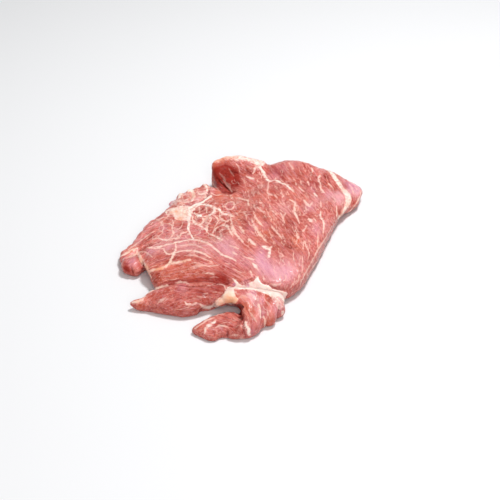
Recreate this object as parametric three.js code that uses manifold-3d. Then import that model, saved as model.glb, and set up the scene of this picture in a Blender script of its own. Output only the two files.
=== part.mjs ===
// A raw Iberian pork shoulder cut: one thick, flat muscle with a raised fold at the back,
// a long side muscle and a curled flap at the front, and trimmed ends on the left.
// Sizes are millimetres. +X is right and +Y is away as the cut is seen from its curled end,
// +Z is up, and the cut rests on Z = 0.

import * as THREE from "three";
import { mergeVertices } from "three/addons/utils/BufferGeometryUtils.js";
import Module from "manifold-3d";

const wasm = await Module();
wasm.setup();

// Grid step of the surface, and how far the sampled block reaches past the meat.
const CELL = 3.5;
const MARGIN = 8;
const BLOCK_BOTTOM = -7;
const BLOCK_TOP = 36;

// The muscles sag this far into the rest plane before the flat underside is cut.
const REST_DEPTH = 2.2;
// Radius of the soft fillet where two muscles meet, and of the one at the hollow's mouth.
const BLEND = 3;
const HOLLOW_BLEND = 1.5;
// Reach of one thickness reading when the readings are blended into a smooth crown, and
// the small weight that each reading keeps far beyond its reach.
const READING_REACH = 19;
const FAR_WEIGHT = 1e-6;
// No slab gets thinner than twice this.
const THINNEST_HALF = 0.5;
// Points on each muscle's outline after it is rounded.
const OUTLINE_POINTS = 140;
// Air left where two stretches of the surface would only just touch.
const TOUCH_GAP = 0.3;
// Width and depth of the block taken off below the rest plane.
const UNDER_WIDTH = 600;
const UNDER_DEPTH = 60;

// Each muscle is a rounded slab: its outline seen from above, the height of its top at
// named places, the places where its underside is lifted, and the height and reach of its
// rounded edge.
// outline: [x, y]    top: [x, y, height]    lifted: [x, y, height, reach]
const MUSCLES = {
  main: {
    edge: 10,
    reach: 16,
    outline: [
      [-86, -27], [-90, -11], [-86, 11], [-79, 33], [-69, 50], [-64, 64], [-56, 77],
      [-44, 87], [-34, 94], [-27, 93], [-27, 103], [-24, 110], [-16, 116], [-5, 120],
      [9, 119], [22, 119], [36, 126], [50, 126], [67, 120], [84, 110], [99, 97],
      [111, 84], [104, 62], [89, 41], [81, 24], [72, -5], [60, -39], [51, -66],
      [43, -79], [33, -87], [15, -89], [-2, -88], [-15, -86], [-39, -83], [-60, -80],
      [-73, -78], [-73, -69], [-77, -59], [-82, -46],
    ],
    top: [
      [-86, -14, 10], [-80, -34, 15], [-74, -56, 14], [-55, -68, 14], [-62, -25, 15],
      [-74, 15, 12], [-56, 45, 12], [-48, 78, 12], [-45, 15, 14], [-32, -45, 18],
      [-20, -75, 16], [5, -80, 19], [28, -74, 20], [45, -45, 21], [10, -35, 22],
      [55, -5, 22], [15, 10, 24], [-15, 30, 19], [65, 35, 21], [30, 55, 23],
      [80, 62, 17], [103, 82, 10], [75, 98, 17], [42, 104, 21], [12, 90, 19],
      [-14, 72, 13], [-24, 90, 13], [-2, 110, 20], [-21, 104, 14], [20, 112, 22],
      [38, 117, 22], [4, 98, 20], [-22, 98, 13], [-7, 98, 16],
    ],
    lifted: [[-80, -50, 7, 11], [-92, -10, 3, 10], [105, 78, 5, 14], [88, 42, 2, 10]],
  },
  rim: {
    edge: 4,
    reach: 4.5,
    outline: [
      [-27, 97], [-29, 106], [-23, 112], [-15, 117], [-5, 121], [5, 119], [14, 117],
      [22, 114], [20, 103], [10, 98], [0, 99], [-8, 100], [-15, 96], [-20, 91],
      [-24, 90],
    ],
    top: [
      [-27, 102, 29], [-22, 109, 31], [-14, 114, 33], [-5, 118, 32], [5, 116, 28],
      [13, 111, 24], [20, 110, 21], [-18, 94, 9], [-9, 101, 11], [3, 101, 17],
      [12, 100, 21],
    ],
    lifted: [],
  },
  sideMuscle: {
    edge: 7,
    reach: 9,
    outline: [
      [-91, -92], [-83, -86], [-75, -79], [-63, -75], [-50, -74], [-36, -74], [-20, -76],
      [-11, -84], [-9, -92], [-14, -97], [-24, -99], [-36, -104], [-48, -107],
      [-60, -104], [-74, -99], [-87, -95],
    ],
    top: [
      [-87, -91, 7], [-76, -84, 13], [-62, -79, 17], [-45, -78, 18], [-25, -79, 18],
      [-12, -86, 17], [-72, -95, 9], [-50, -97, 12], [-28, -94, 12], [-16, -93, 14],
    ],
    lifted: [[-91, -92, 2, 6], [-14, -98, 8, 8]],
  },
  flap: {
    edge: 8,
    reach: 10,
    outline: [
      [-13, -84], [2, -84], [20, -87], [32, -91], [33, -98], [33, -107], [28, -111],
      [25, -119], [17, -123], [11, -132], [3, -137], [-5, -136], [-4, -126], [-3, -114],
      [-9, -104], [-15, -97],
    ],
    top: [
      [-9, -92, 19], [8, -90, 22], [26, -93, 18], [31, -101, 14], [8, -106, 20],
      [20, -108, 16], [1, -115, 19], [12, -122, 13], [1, -130, 11], [-10, -101, 18],
    ],
    lifted: [[-10, -102, 11, 9]],
  },
  tongue: {
    edge: 4.5,
    reach: 6,
    outline: [
      [-41, -126], [-35, -121], [-26, -113], [-16, -107], [-5, -103], [8, -105],
      [10, -122], [2, -133], [-8, -136], [-16, -134], [-23, -138], [-33, -134],
    ],
    top: [[-38, -126, 5], [-28, -125, 9], [-17, -118, 9], [-14, -131, 8], [0, -112, 8]],
    lifted: [],
  },
  leftStrip: {
    edge: 3.5,
    reach: 5,
    outline: [
      [-76, -13], [-86, -4], [-95, -9], [-104, -19], [-104, -29], [-96, -35], [-84, -30],
    ],
    top: [[-84, -13, 10], [-94, -16, 9], [-100, -25, 7]],
    lifted: [[-106, -27, 1, 7]],
  },
  leftEnd: {
    edge: 5.5,
    reach: 6,
    outline: [
      [-82, -24], [-92, -25], [-100, -28], [-103, -35], [-99, -42], [-94, -47],
      [-88, -45], [-83, -37],
    ],
    top: [[-85, -31, 9], [-93, -33, 11], [-102, -35, 11], [-94, -45, 10]],
    lifted: [[-95, -49, 3, 5], [-106, -38, 2, 5]],
  },
};

// Folds pressed into the surface: a route seen from above, its depth and half width.
const FOLDS = [
  { route: [[-32, 98], [-24, 88], [-13, 74]], depth: 4, halfWidth: 5 },
  { route: [[-70, -75], [-52, -71], [-30, -71], [-14, -76]], depth: 3.5, halfWidth: 4 },
  { route: [[-10, -83], [8, -85], [24, -87], [36, -88]], depth: 2.5, halfWidth: 3.5 },
  { route: [[22, -98], [17, -112], [16, -126]], depth: 2, halfWidth: 3 },
  { route: [[10, -104], [6, -120], [8, -134]], depth: 1.6, halfWidth: 2.6 },
  { route: [[-80, -10], [-87, -18], [-95, -27]], depth: 2, halfWidth: 3 },
];

// The hollow under the fold of the flap, as a bent round passage.
const HOLLOW = {
  route: [[-32, -101, 3], [-12, -98, 4], [-6, -103, 9], [0, -110, 10]], radius: 4.4 };

// Unevenness of the surface: bundles drawn out along the grain, and smaller lumps.
// length and width are the size of one swelling, along and across the grain.
const GRAIN_BEARING = -0.95;
const SWELLINGS = [
  { length: 60, width: 24, height: 1.6 },
  { length: 26, width: 9, height: 1.1 },
];

const clamp = THREE.MathUtils.clamp;

function roundedOutline(points) {
  const curve = new THREE.CatmullRomCurve3(
    points.map(([x, y]) => new THREE.Vector3(x, y, 0)), true, "centripetal");
  return curve.getPoints(OUTLINE_POINTS).slice(0, -1);
}

function distanceToSegment(x, y, a, b) {
  const dx = b.x - a.x;
  const dy = b.y - a.y;
  const along = clamp(((x - a.x) * dx + (y - a.y) * dy) / (dx * dx + dy * dy), 0, 1);
  return Math.hypot(x - a.x - along * dx, y - a.y - along * dy);
}

// Distance from (x, y) to a closed outline, positive inside it.
function depthInside(x, y, outline) {
  let nearest = Infinity;
  let inside = false;
  for (let i = 0, j = outline.length - 1; i < outline.length; j = i++) {
    const a = outline[i];
    const b = outline[j];
    nearest = Math.min(nearest, distanceToSegment(x, y, a, b));
    const crosses = a.y > y !== b.y > y;
    if (crosses && x < ((b.x - a.x) * (y - a.y)) / (b.y - a.y) + a.x) inside = !inside;
  }
  return inside ? nearest : -nearest;
}

// The height readings blended by how near each one is.
function blendedHeight(x, y, readings) {
  let sum = 0;
  let weights = 0;
  for (const [rx, ry, height] of readings) {
    const away = Math.hypot(x - rx, y - ry) / READING_REACH;
    const weight = Math.exp(-away * away) + FAR_WEIGHT / (1 + away * away);
    sum += weight * height;
    weights += weight;
  }
  return sum / weights;
}

function underside(x, y, lifted) {
  let z = -REST_DEPTH;
  for (const [lx, ly, height, reach] of lifted) {
    const away = Math.hypot(x - lx, y - ly) / reach;
    z = Math.max(z, -REST_DEPTH + (height + REST_DEPTH) * Math.exp(-away * away));
  }
  return z;
}

// A repeatable random number from 0 to 1 for one point of a lattice: the fraction that is
// left of a large sine.
function latticeValue(i, j) {
  const large = Math.sin(i * 127.1 + j * 311.7) * 43758.5453;
  return large - Math.floor(large);
}

// Smooth noise from -0.5 to 0.5 with one swelling to each unit of u and v.
function smoothNoise(u, v) {
  const i = Math.floor(u);
  const j = Math.floor(v);
  const s = THREE.MathUtils.smoothstep(u - i, 0, 1);
  const t = THREE.MathUtils.smoothstep(v - j, 0, 1);
  const near = latticeValue(i, j) * (1 - s) + latticeValue(i + 1, j) * s;
  const far = latticeValue(i, j + 1) * (1 - s) + latticeValue(i + 1, j + 1) * s;
  return near * (1 - t) + far * t - 0.5;
}

// How far the surface stands above or below its smooth crown.
function unevenness(x, y) {
  const along = x * Math.cos(GRAIN_BEARING) + y * Math.sin(GRAIN_BEARING);
  const across = y * Math.cos(GRAIN_BEARING) - x * Math.sin(GRAIN_BEARING);
  return SWELLINGS.reduce(
    (sum, { length, width, height }) => sum + height * smoothNoise(along / length, across / width), 0);
}

// How far the folds press the surface in.
function foldDepth(x, y) {
  let deepest = 0;
  for (const { route, depth, halfWidth } of FOLDS) {
    const points = route.map(([px, py]) => new THREE.Vector2(px, py));
    let away = Infinity;
    for (let i = 1; i < points.length; i++)
      away = Math.min(away, distanceToSegment(x, y, points[i - 1], points[i]));
    deepest = Math.max(deepest, depth * Math.exp(-((away / halfWidth) ** 2)));
  }
  return deepest;
}

// What a muscle is at one place seen from above: the rounded slab's three measures.
function column(x, y, muscle) {
  const low = underside(x, y, muscle.lifted);
  const high = blendedHeight(x, y, muscle.top) + unevenness(x, y) - foldDepth(x, y);
  const half = Math.max((high - low) / 2, THINNEST_HALF);
  return { depth: depthInside(x, y, muscle.rounded), middle: (high + low) / 2, half };
}

// Depth below the skin of a rounded slab, positive inside.
function slabDepth({ depth, middle, half }, z, { edge, reach }) {
  const radius = Math.min(edge, half);
  const sideways = radius - (depth * edge) / reach;
  const upright = radius - half + Math.abs(z - middle);
  const outside = Math.hypot(Math.max(sideways, 0), Math.max(upright, 0));
  return radius - outside - Math.min(Math.max(sideways, upright), 0);
}

// The larger of two depths, with a fillet where they are nearly alike.
function smoothMax(a, b, blend) {
  const near = Math.max(blend - Math.abs(a - b), 0) / blend;
  return Math.max(a, b) + (near * near * blend) / 4;
}

const hollowPath = HOLLOW.route.map(([x, y, z]) => new THREE.Vector3(x, y, z));

// Depth inside the hollow's round passage, positive inside.
function hollowDepth(point) {
  let away = Infinity;
  const nearest = new THREE.Vector3();
  for (let i = 1; i < hollowPath.length; i++) {
    new THREE.Line3(hollowPath[i - 1], hollowPath[i]).closestPointToPoint(point, true, nearest);
    away = Math.min(away, nearest.distanceTo(point));
  }
  return HOLLOW.radius - away;
}

// Samples the meat's depth on a regular grid that encloses every muscle.
function sampleBlock() {
  const muscles = Object.values(MUSCLES);
  const all = new THREE.Box2();
  for (const muscle of muscles) {
    muscle.rounded = roundedOutline(muscle.outline);
    muscle.rounded.forEach((p) => all.expandByPoint(new THREE.Vector2(p.x, p.y)));
  }
  all.expandByScalar(MARGIN);
  const origin = new THREE.Vector3(all.min.x, all.min.y, BLOCK_BOTTOM);
  const counts = [all.max.x - all.min.x, all.max.y - all.min.y, BLOCK_TOP - BLOCK_BOTTOM]
    .map((span) => Math.ceil(span / CELL) + 1);
  const [nx, ny, nz] = counts;
  const values = new Float32Array(nx * ny * nz);
  const point = new THREE.Vector3();
  for (let j = 0; j < ny; j++)
    for (let i = 0; i < nx; i++) {
      const x = origin.x + i * CELL;
      const y = origin.y + j * CELL;
      const columns = muscles.map((muscle) => column(x, y, muscle));
      for (let k = 0; k < nz; k++) {
        const z = origin.z + k * CELL;
        const depth = muscles
          .map((muscle, m) => slabDepth(columns[m], z, muscle))
          .reduce((a, b) => smoothMax(a, b, BLEND));
        const hollow = hollowDepth(point.set(x, y, z));
        values[i + nx * (j + ny * k)] = -smoothMax(-depth, hollow, HOLLOW_BLEND);
      }
    }
  return { values, counts, origin };
}

// Where the corners of a grid face alternate between meat and air the surface would touch
// itself. The shallower of the two meat corners is given to the air.
function separateTouching({ values, counts }) {
  const [nx, ny] = counts;
  const steps = [1, nx, nx * ny];
  const last = values.length - steps[2] - steps[1] - 1;
  let changed = true;
  while (changed) {
    changed = false;
    for (let here = 0; here < last; here++)
      for (const [a, b] of [[0, 1], [1, 2], [2, 0]]) {
        const face = [here, here + steps[a], here + steps[a] + steps[b], here + steps[b]];
        const meat = face.filter((corner) => values[corner] > 0);
        if (meat.length !== 2 || Math.abs(face.indexOf(meat[0]) - face.indexOf(meat[1])) !== 2)
          continue;
        const shallow = values[meat[0]] < values[meat[1]] ? meat[0] : meat[1];
        values[shallow] = -TOUCH_GAP;
        changed = true;
      }
  }
}

// Wraps the zero surface of the sampled block in quads, one vertex to each crossed cell.
function wrapSurface({ values, counts, origin }) {
  const [nx, ny, nz] = counts;
  const at = (i, j, k) => i + nx * (j + ny * k);
  const corners = [0, 1, 2, 3, 4, 5, 6, 7].map((n) => [n & 1, (n >> 1) & 1, n >> 2]);
  const cellVertex = new Map();
  const positions = [];
  for (let k = 0; k < nz - 1; k++)
    for (let j = 0; j < ny - 1; j++)
      for (let i = 0; i < nx - 1; i++) {
        const v = corners.map(([a, b, c]) => values[at(i + a, j + b, k + c)]);
        const sum = [0, 0, 0];
        let crossings = 0;
        for (let m = 0; m < 8; m++)
          for (const bit of [1, 2, 4]) {
            const n = m | bit;
            if (n === m || v[m] > 0 === v[n] > 0) continue;
            const share = v[m] / (v[m] - v[n]);
            for (let axis = 0; axis < 3; axis++)
              sum[axis] += corners[m][axis] + share * (corners[n][axis] - corners[m][axis]);
            crossings++;
          }
        if (!crossings) continue;
        cellVertex.set(at(i, j, k), positions.length / 3);
        const cell = [i, j, k];
        sum.forEach((s, axis) =>
          positions.push(origin.getComponent(axis) + (cell[axis] + s / crossings) * CELL));
      }
  const steps = [at(1, 0, 0), at(0, 1, 0), at(0, 0, 1)];
  const faces = [];
  for (let k = 1; k < nz - 1; k++)
    for (let j = 1; j < ny - 1; j++)
      for (let i = 1; i < nx - 1; i++)
        for (let axis = 0; axis < 3; axis++) {
          const here = at(i, j, k);
          const inside = values[here] > 0;
          if (inside === values[here + steps[axis]] > 0) continue;
          const u = steps[(axis + 1) % 3];
          const v = steps[(axis + 2) % 3];
          const quad = [here - u - v, here - v, here, here - u].map((c) => cellVertex.get(c));
          if (!inside) quad.reverse();
          faces.push(quad[0], quad[1], quad[2], quad[0], quad[2], quad[3]);
        }
  return { positions: new Float32Array(positions), faces: new Uint32Array(faces) };
}

function solidFrom(positions, faces) {
  return new wasm.Manifold(
    new wasm.Mesh({ numProp: 3, vertProperties: positions, triVerts: faces }));
}

// Everything under the rest plane, taken off so that the cut lies flat.
function belowRestPlane() {
  const slab = new THREE.BoxGeometry(UNDER_WIDTH, UNDER_WIDTH, UNDER_DEPTH);
  slab.translate(0, 0, -UNDER_DEPTH / 2);
  slab.deleteAttribute("normal");
  slab.deleteAttribute("uv");
  const merged = mergeVertices(slab);
  return solidFrom(merged.attributes.position.array, merged.index.array);
}

function geometryFrom(solid) {
  const mesh = solid.getMesh();
  const geometry = new THREE.BufferGeometry();
  geometry.setAttribute("position", new THREE.BufferAttribute(mesh.vertProperties, 3));
  geometry.setIndex(new THREE.BufferAttribute(mesh.triVerts, 1));
  geometry.computeVertexNormals();
  return geometry;
}

function largestPiece(solid) {
  return solid.decompose().reduce((a, b) => (a.volume() > b.volume() ? a : b));
}

function makeMeat() {
  const block = sampleBlock();
  separateTouching(block);
  const { positions, faces } = wrapSurface(block);
  const solid = solidFrom(positions, faces).subtract(belowRestPlane());
  const geometry = geometryFrom(largestPiece(solid));
  const centre = new THREE.Vector3();
  geometry.computeBoundingBox();
  geometry.boundingBox.getCenter(centre);
  geometry.translate(-centre.x, -centre.y, 0);
  const material = new THREE.MeshStandardMaterial({
    color: 0xc8736b, roughness: 0.42, metalness: 0 });
  const meat = new THREE.Mesh(geometry, material);
  meat.name = "pork_shoulder";
  return meat;
}

const group = new THREE.Group();
group.add(makeMeat());

export default group;
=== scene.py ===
"""The looks of a raw, marbled pork shoulder cut: its fine surface, fat, membrane and moisture.

Shapes are worked out in millimetres in the drawing's frame: +X is right and +Y is away as the
cut is seen from its curled end, +Z is up, and the cut rests on Z = 0. MIDDLE is the middle of the
cut's box in that frame, so the part's own frame is the drawing's frame less MIDDLE.

Marks on the meat are given as they are seen, in pixels of the reference view. A line of sight
through such a pixel finds the mark's place on the surface. Some marks are painted sheen,
highlights and shade.
"""

import math
from types import SimpleNamespace

import bpy
import numpy as np
from mathutils import Matrix, Vector
from mathutils.bvhtree import BVHTree
from mathutils.kdtree import KDTree


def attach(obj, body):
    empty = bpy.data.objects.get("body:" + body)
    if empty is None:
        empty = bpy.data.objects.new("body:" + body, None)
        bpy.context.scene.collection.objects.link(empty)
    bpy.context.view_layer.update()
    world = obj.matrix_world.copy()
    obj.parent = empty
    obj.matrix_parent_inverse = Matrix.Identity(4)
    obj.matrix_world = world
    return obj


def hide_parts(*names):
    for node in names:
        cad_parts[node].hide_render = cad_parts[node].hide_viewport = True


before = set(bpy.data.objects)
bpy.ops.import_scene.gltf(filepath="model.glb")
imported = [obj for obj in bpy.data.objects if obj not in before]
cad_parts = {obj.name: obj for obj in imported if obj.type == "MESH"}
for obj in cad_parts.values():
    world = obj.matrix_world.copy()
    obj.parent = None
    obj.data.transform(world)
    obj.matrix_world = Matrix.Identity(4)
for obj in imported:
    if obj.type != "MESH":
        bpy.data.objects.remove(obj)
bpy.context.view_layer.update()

NODE = "pork_shoulder"
MM = 0.001
MIDDLE = np.array([2.686, -5.299, 0.0])
TINY = 1e-12
SEED = 7
# Numbers that scatter the values of the noise's lattice.
LATTICE_STEPS = (127.1, 311.7, 74.7)
LATTICE_SCALE = 43758.5453

# The camera of the reference view, in the drawing's frame: its place, its tilt below the
# horizon, its roll, and its focal length in pixels of the square image.
EYE = np.array([5.886, -1018.52, 641.42])
TILT = math.radians(32.315)
ROLL = math.radians(-0.642)
FOCAL = 1394.4
IMAGE = 500
SENSOR = 36.0
CLIP_START = 0.05
CLIP_END = 20
# One pixel of the reference view over the meat, in millimetres along X, Y and Z.
PIXEL = np.array([0.87, 1.63, 1.03])
# How far off the skin a line of sight starts.
OFF_SKIN = 0.4

# Grid step of the fine surface, and how far the sampled block reaches past the meat.
CELL = 1.0
MARGIN = 6.0
BLOCK_BOTTOM = -3.0
BLOCK_TOP = 36.0
# How far corners of meat that touch only across a grid face are moved into the air.
TOUCH_GAP = 0.1
# Evening out the sampled surface. Below REST_ZONE a point belongs to the flat underside.
RELAX_ROUNDS = 3
RELAX_SHARE = 0.5
REST_ZONE = 0.05

# Slabs: points to each stretch of an outline, how far a resting underside is taken below the
# floor, how softly muscles blend, the least half thickness, how far a height reading counts and
# the small weight that it keeps beyond.
OUTLINE_STEPS = 5
REST_DEPTH = 2.2
BLEND = 3.0
THINNEST_HALF = 0.5
READING_REACH = 19.0
FAR_WEIGHT = 1e-6
# How far a fold bites into the outline for its depth, and how uneven the outline is.
EDGE_BITE = 0.5
EDGE_RAGGED = 1.6
EDGE_LUMP = 7.0

# Each muscle is a rounded slab: its outline seen from above, the height of its top at named
# places, the places where its underside is lifted, and the height and reach of its rounded edge.
# outline: (x, y)    top: (x, y, height)    lifted: (x, y, height, reach)
MUSCLES = {
    "main": {
        "edge": 10,
        "reach": 16,
        "outline": [
            (-86, -27), (-90, -11), (-86, 11), (-79, 33), (-69, 50), (-64, 64), (-56, 77),
            (-44, 87), (-34, 94), (-27, 93), (-27, 103), (-24, 110), (-16, 116), (-5, 120),
            (9, 119), (22, 119), (36, 126), (50, 126), (67, 120), (84, 110), (99, 97),
            (108, 86), (104, 62), (89, 41), (81, 24), (72, -5), (60, -39), (51, -66),
            (43, -79), (33, -87), (15, -89), (-2, -88), (-15, -86), (-39, -83), (-60, -80),
            (-73, -78), (-73, -69), (-77, -59), (-82, -46),
        ],
        "top": [
            (-86, -14, 10), (-80, -34, 15), (-74, -56, 14), (-55, -68, 14), (-62, -25, 15),
            (-74, 15, 12), (-56, 45, 12), (-48, 78, 12), (-45, 15, 14), (-32, -45, 18),
            (-20, -75, 16), (5, -80, 19), (28, -74, 20), (45, -45, 21), (10, -35, 22),
            (55, -5, 22), (15, 10, 24), (-15, 30, 19), (65, 35, 21), (30, 55, 23),
            (80, 62, 17), (103, 82, 10), (75, 98, 17), (42, 104, 21), (12, 90, 19),
            (-14, 72, 13), (-24, 90, 13), (-2, 110, 20), (-21, 104, 14), (20, 112, 22),
            (38, 117, 22), (4, 98, 20),
            (-22, 98, 13), (-7, 98, 16),
        ],
        "lifted": [(-80, -50, 7, 11), (-92, -10, 3, 10), (105, 78, 5, 14), (88, 42, 2, 10)],
    },
    "rim": {
        "edge": 4,
        "reach": 4.5,
        "outline": [
            (-27, 97), (-29, 106), (-23, 112), (-15, 117), (-5, 121), (5, 119), (14, 117),
            (22, 114), (20, 103), (10, 98), (0, 99), (-8, 100), (-15, 96), (-20, 91),
            (-24, 90),
        ],
        "top": [
            (-27, 102, 29), (-22, 109, 31), (-14, 114, 33), (-5, 118, 32), (5, 116, 28),
            (13, 111, 24), (20, 110, 21), (-18, 94, 9), (-9, 101, 11), (3, 101, 17),
            (12, 100, 21),
        ],
        "lifted": [],
    },
    "side_muscle": {
        "edge": 7,
        "reach": 9,
        "outline": [
            (-91, -92), (-83, -86), (-75, -79), (-63, -75), (-50, -74), (-36, -74),
            (-20, -76), (-11, -84), (-9, -92), (-14, -97), (-24, -99), (-36, -104),
            (-48, -107), (-60, -104), (-74, -99), (-87, -95),
        ],
        "top": [
            (-87, -91, 7), (-76, -84, 13), (-62, -79, 17), (-45, -78, 18), (-25, -79, 18),
            (-12, -86, 17), (-72, -95, 9), (-50, -97, 12), (-28, -94, 12), (-16, -93, 14),
        ],
        "lifted": [(-91, -92, 2, 6), (-14, -98, 8, 8)],
    },
    "flap": {
        "edge": 8,
        "reach": 10,
        "outline": [
            (-13, -84), (2, -84), (20, -87), (32, -91), (33, -98), (33, -107), (28, -111),
            (25, -119), (17, -123), (11, -132), (3, -137), (-5, -136), (-4, -126),
            (-3, -114), (-9, -104), (-15, -97),
        ],
        "top": [
            (-9, -92, 19), (8, -90, 22), (26, -93, 18), (31, -101, 14), (8, -106, 20),
            (20, -108, 16), (1, -115, 19), (12, -122, 13), (1, -130, 11), (-10, -101, 18),
        ],
        "lifted": [(-10, -102, 11, 9)],
    },
    "tongue": {
        "edge": 4.5,
        "reach": 6,
        "outline": [
            (-41, -126), (-35, -121), (-26, -113), (-16, -107), (-5, -103), (8, -105),
            (10, -122), (2, -133), (-8, -136), (-16, -134), (-23, -138), (-33, -134),
        ],
        "top": [(-38, -126, 5), (-28, -125, 9), (-17, -118, 9), (-14, -131, 8), (0, -112, 8)],
        "lifted": [],
    },
    "left_strip": {
        "edge": 3.5,
        "reach": 5,
        "outline": [
            (-76, -13), (-86, -4), (-95, -9), (-104, -19), (-104, -29), (-96, -35),
            (-84, -30),
        ],
        "top": [(-84, -13, 10), (-94, -16, 9), (-100, -25, 7)],
        "lifted": [(-106, -27, 1, 7)],
    },
    "left_end": {
        "edge": 5.5,
        "reach": 6,
        "outline": [
            (-82, -24), (-92, -25), (-100, -28), (-103, -35), (-99, -42), (-94, -47),
            (-88, -45), (-83, -37),
        ],
        "top": [(-85, -31, 9), (-93, -33, 11), (-102, -35, 11), (-94, -45, 10)],
        "lifted": [(-95, -49, 3, 5), (-106, -38, 2, 5)],
    },
}

# The hollow under the fold of the flap, as a bent round passage of this radius.
HOLLOW_ROUTE = [(-32, -101, 3), (-12, -98, 4), (-6, -103, 9), (0, -110, 10)]
HOLLOW_RADIUS = 4.4
HOLLOW_BLEND = 1.5

# Swellings drawn out along the grain: its bearing, and their length, width and height.
GRAIN_BEARING = -0.95
SWELLINGS = [(60, 24, 1.6), (26, 9, 1.1)]

# Folds pressed into the surface: route seen from above, depth and half width.
FOLDS = [
    ([(-32, 98), (-24, 88), (-13, 74)], 4.0, 5.0),
    ([(-70, -75), (-52, -71), (-30, -71), (-14, -76)], 3.5, 4.0),
    ([(-10, -83), (8, -85), (24, -87), (36, -88)], 2.5, 3.5),
    ([(22, -98), (17, -112), (16, -126)], 2.0, 3.0),
    ([(10, -104), (6, -120), (8, -134)], 1.6, 2.6),
    ([(-80, -10), (-87, -18), (-95, -27)], 2.0, 3.0),
]

# Finer folds between bundles, as they are seen: route in pixels of the reference view, depth
# and half width.
FINE_FOLDS = [
    # The flap: between its bulges, and along the fibres inside its fold.
    ([(242.5, 299), (246, 307), (250, 314), (253, 320)], 0.9, 1.3),
    ([(242, 312), (243, 320), (243.5, 330), (246, 338)], 1.3, 1.2),
    ([(251, 320), (252, 327), (252.5, 336)], 0.9, 1.0),
    ([(262.5, 296), (263.5, 304), (262.5, 311), (261.5, 322), (258, 331)], 1.0, 1.1),
    ([(268, 313), (267, 322), (265.5, 328)], 0.9, 1.1),
    ([(279.5, 304), (279, 310), (277.5, 318)], 1.4, 1.2),
    ([(251, 291), (256, 293)], 0.7, 1.5),
    ([(238, 310.5), (239.5, 315), (241, 320)], 2.6, 2.2),
    # The tongue.
    ([(226, 310), (234, 313), (241, 318)], 0.9, 1.0),
    ([(222, 316), (232, 319), (241, 322)], 0.9, 1.0),
    ([(212, 322), (222, 324), (238, 328)], 1.1, 1.1),
    ([(228, 329), (227, 337), (229, 343)], 1.2, 1.3),
    ([(214, 331), (215, 338)], 0.9, 1.1),
    # The left end.
    ([(136.5, 253), (140, 259), (144, 267), (147, 272)], 2.0, 1.1),
    ([(122, 261), (129, 257.5), (137, 254.5)], 1.4, 1.1),
    ([(131, 266), (132, 271), (133.5, 276)], 1.5, 1.3),
    ([(122, 263), (127, 263.5), (132, 262)], 0.8, 1.0),
    # The crease above the side muscle, and the one beneath its free edge.
    ([(173, 285), (180, 284.6), (190, 285.8), (204, 285), (220, 284)], 1.5, 1.2),
    ([(153, 291), (162, 286.5), (172, 286)], 0.8, 1.2),
    ([(175, 289.5), (184, 290.5), (192, 288.5)], 0.8, 1.1),
    # The rim: two dark slits, the step to the fringe and the lobes at its foot.
    ([(216.5, 178), (222, 183.5), (229, 190)], 2.6, 1.0),
    ([(221, 176.5), (225.5, 182.5), (230.5, 188.5)], 1.3, 0.8),
    ([(229, 169), (234, 176), (237, 185)], 0.6, 1.6),
    ([(243, 166), (249, 172), (252, 175)], 0.7, 1.1),
    ([(258, 164), (256, 169), (252, 174)], 0.8, 1.1),
    ([(211, 184), (209, 191), (206, 197), (200, 202)], 1.3, 1.2),
    ([(192.5, 190), (192.5, 197), (189, 203)], 1.2, 1.1),
    ([(216, 194.5), (226, 192), (235, 191.5), (242, 194)], 0.7, 1.3),
    # Between the lobes of the net.
    ([(195, 208), (193.5, 213), (197, 216)], 0.5, 0.8),
    ([(167, 214.5), (171, 214)], 0.8, 0.8),
    ([(174, 221), (183, 220.5), (187.5, 219)], 0.6, 0.8),
    ([(150, 246), (143, 243)], 0.9, 1.1),
    ([(153, 236), (149, 238), (145, 242)], 0.8, 1.1),
    # Between the muscles at the right.
    ([(304, 166), (311, 172), (316, 176.5), (320, 183)], 0.6, 1.0),
    ([(327, 173), (329, 179), (331, 186), (336, 191)], 0.6, 1.0),
    ([(343, 203), (343, 207), (340, 213)], 0.7, 0.9),
    ([(286, 246), (292, 248), (296, 247)], 0.6, 1.2),
    # Above the seam.
    ([(233, 277.5), (240, 281.5), (249, 279), (254, 277)], 0.9, 1.0),
    ([(262, 282.5), (268, 284.5), (274, 288), (284, 290)], 0.8, 1.0),
]
# Along a finer fold: the step between samples, the share of its length in which it starts and
# ends, and how many half widths away it is still worked out.
FOLD_STEP = 0.5
FOLD_START = 0.1
FOLD_REACH = 2.5

# Small round forms, as they are seen: centre in pixels of the reference view, its height, and
# the half sizes along X, Y and Z.
LUMPS = [
    (128, 267, 6, 5.5, 6, 5), (136, 271, 5, 4.5, 4.5, 4.5), (134, 262, 8, 6.5, 6.5, 4),
    (182, 198, 7, 5, 5, 4), (190, 195, 8, 4.5, 5, 4.5), (198, 193, 8, 4.5, 5, 4.5),
    (205, 189, 9, 3.5, 5, 4.5), (176, 204, 5, 7, 6, 2.2), (167, 219, 8, 5, 5.5, 4),
    (228, 297, 15, 5, 6, 4), (221, 302, 12, 5.5, 4, 3.5), (160, 224, 7.5, 6, 8, 4),
    (154, 227, 7.5, 6, 9, 4), (149, 232, 7, 6, 9, 4), (144, 238, 6.5, 6, 9, 4),
    (139.5, 244, 6, 6, 8, 4), (133.5, 249.5, 5.5, 6, 6.5, 3.8), (127, 254, 5, 5.5, 5, 3.4),
]
LUMP_BLEND = 1.6

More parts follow.
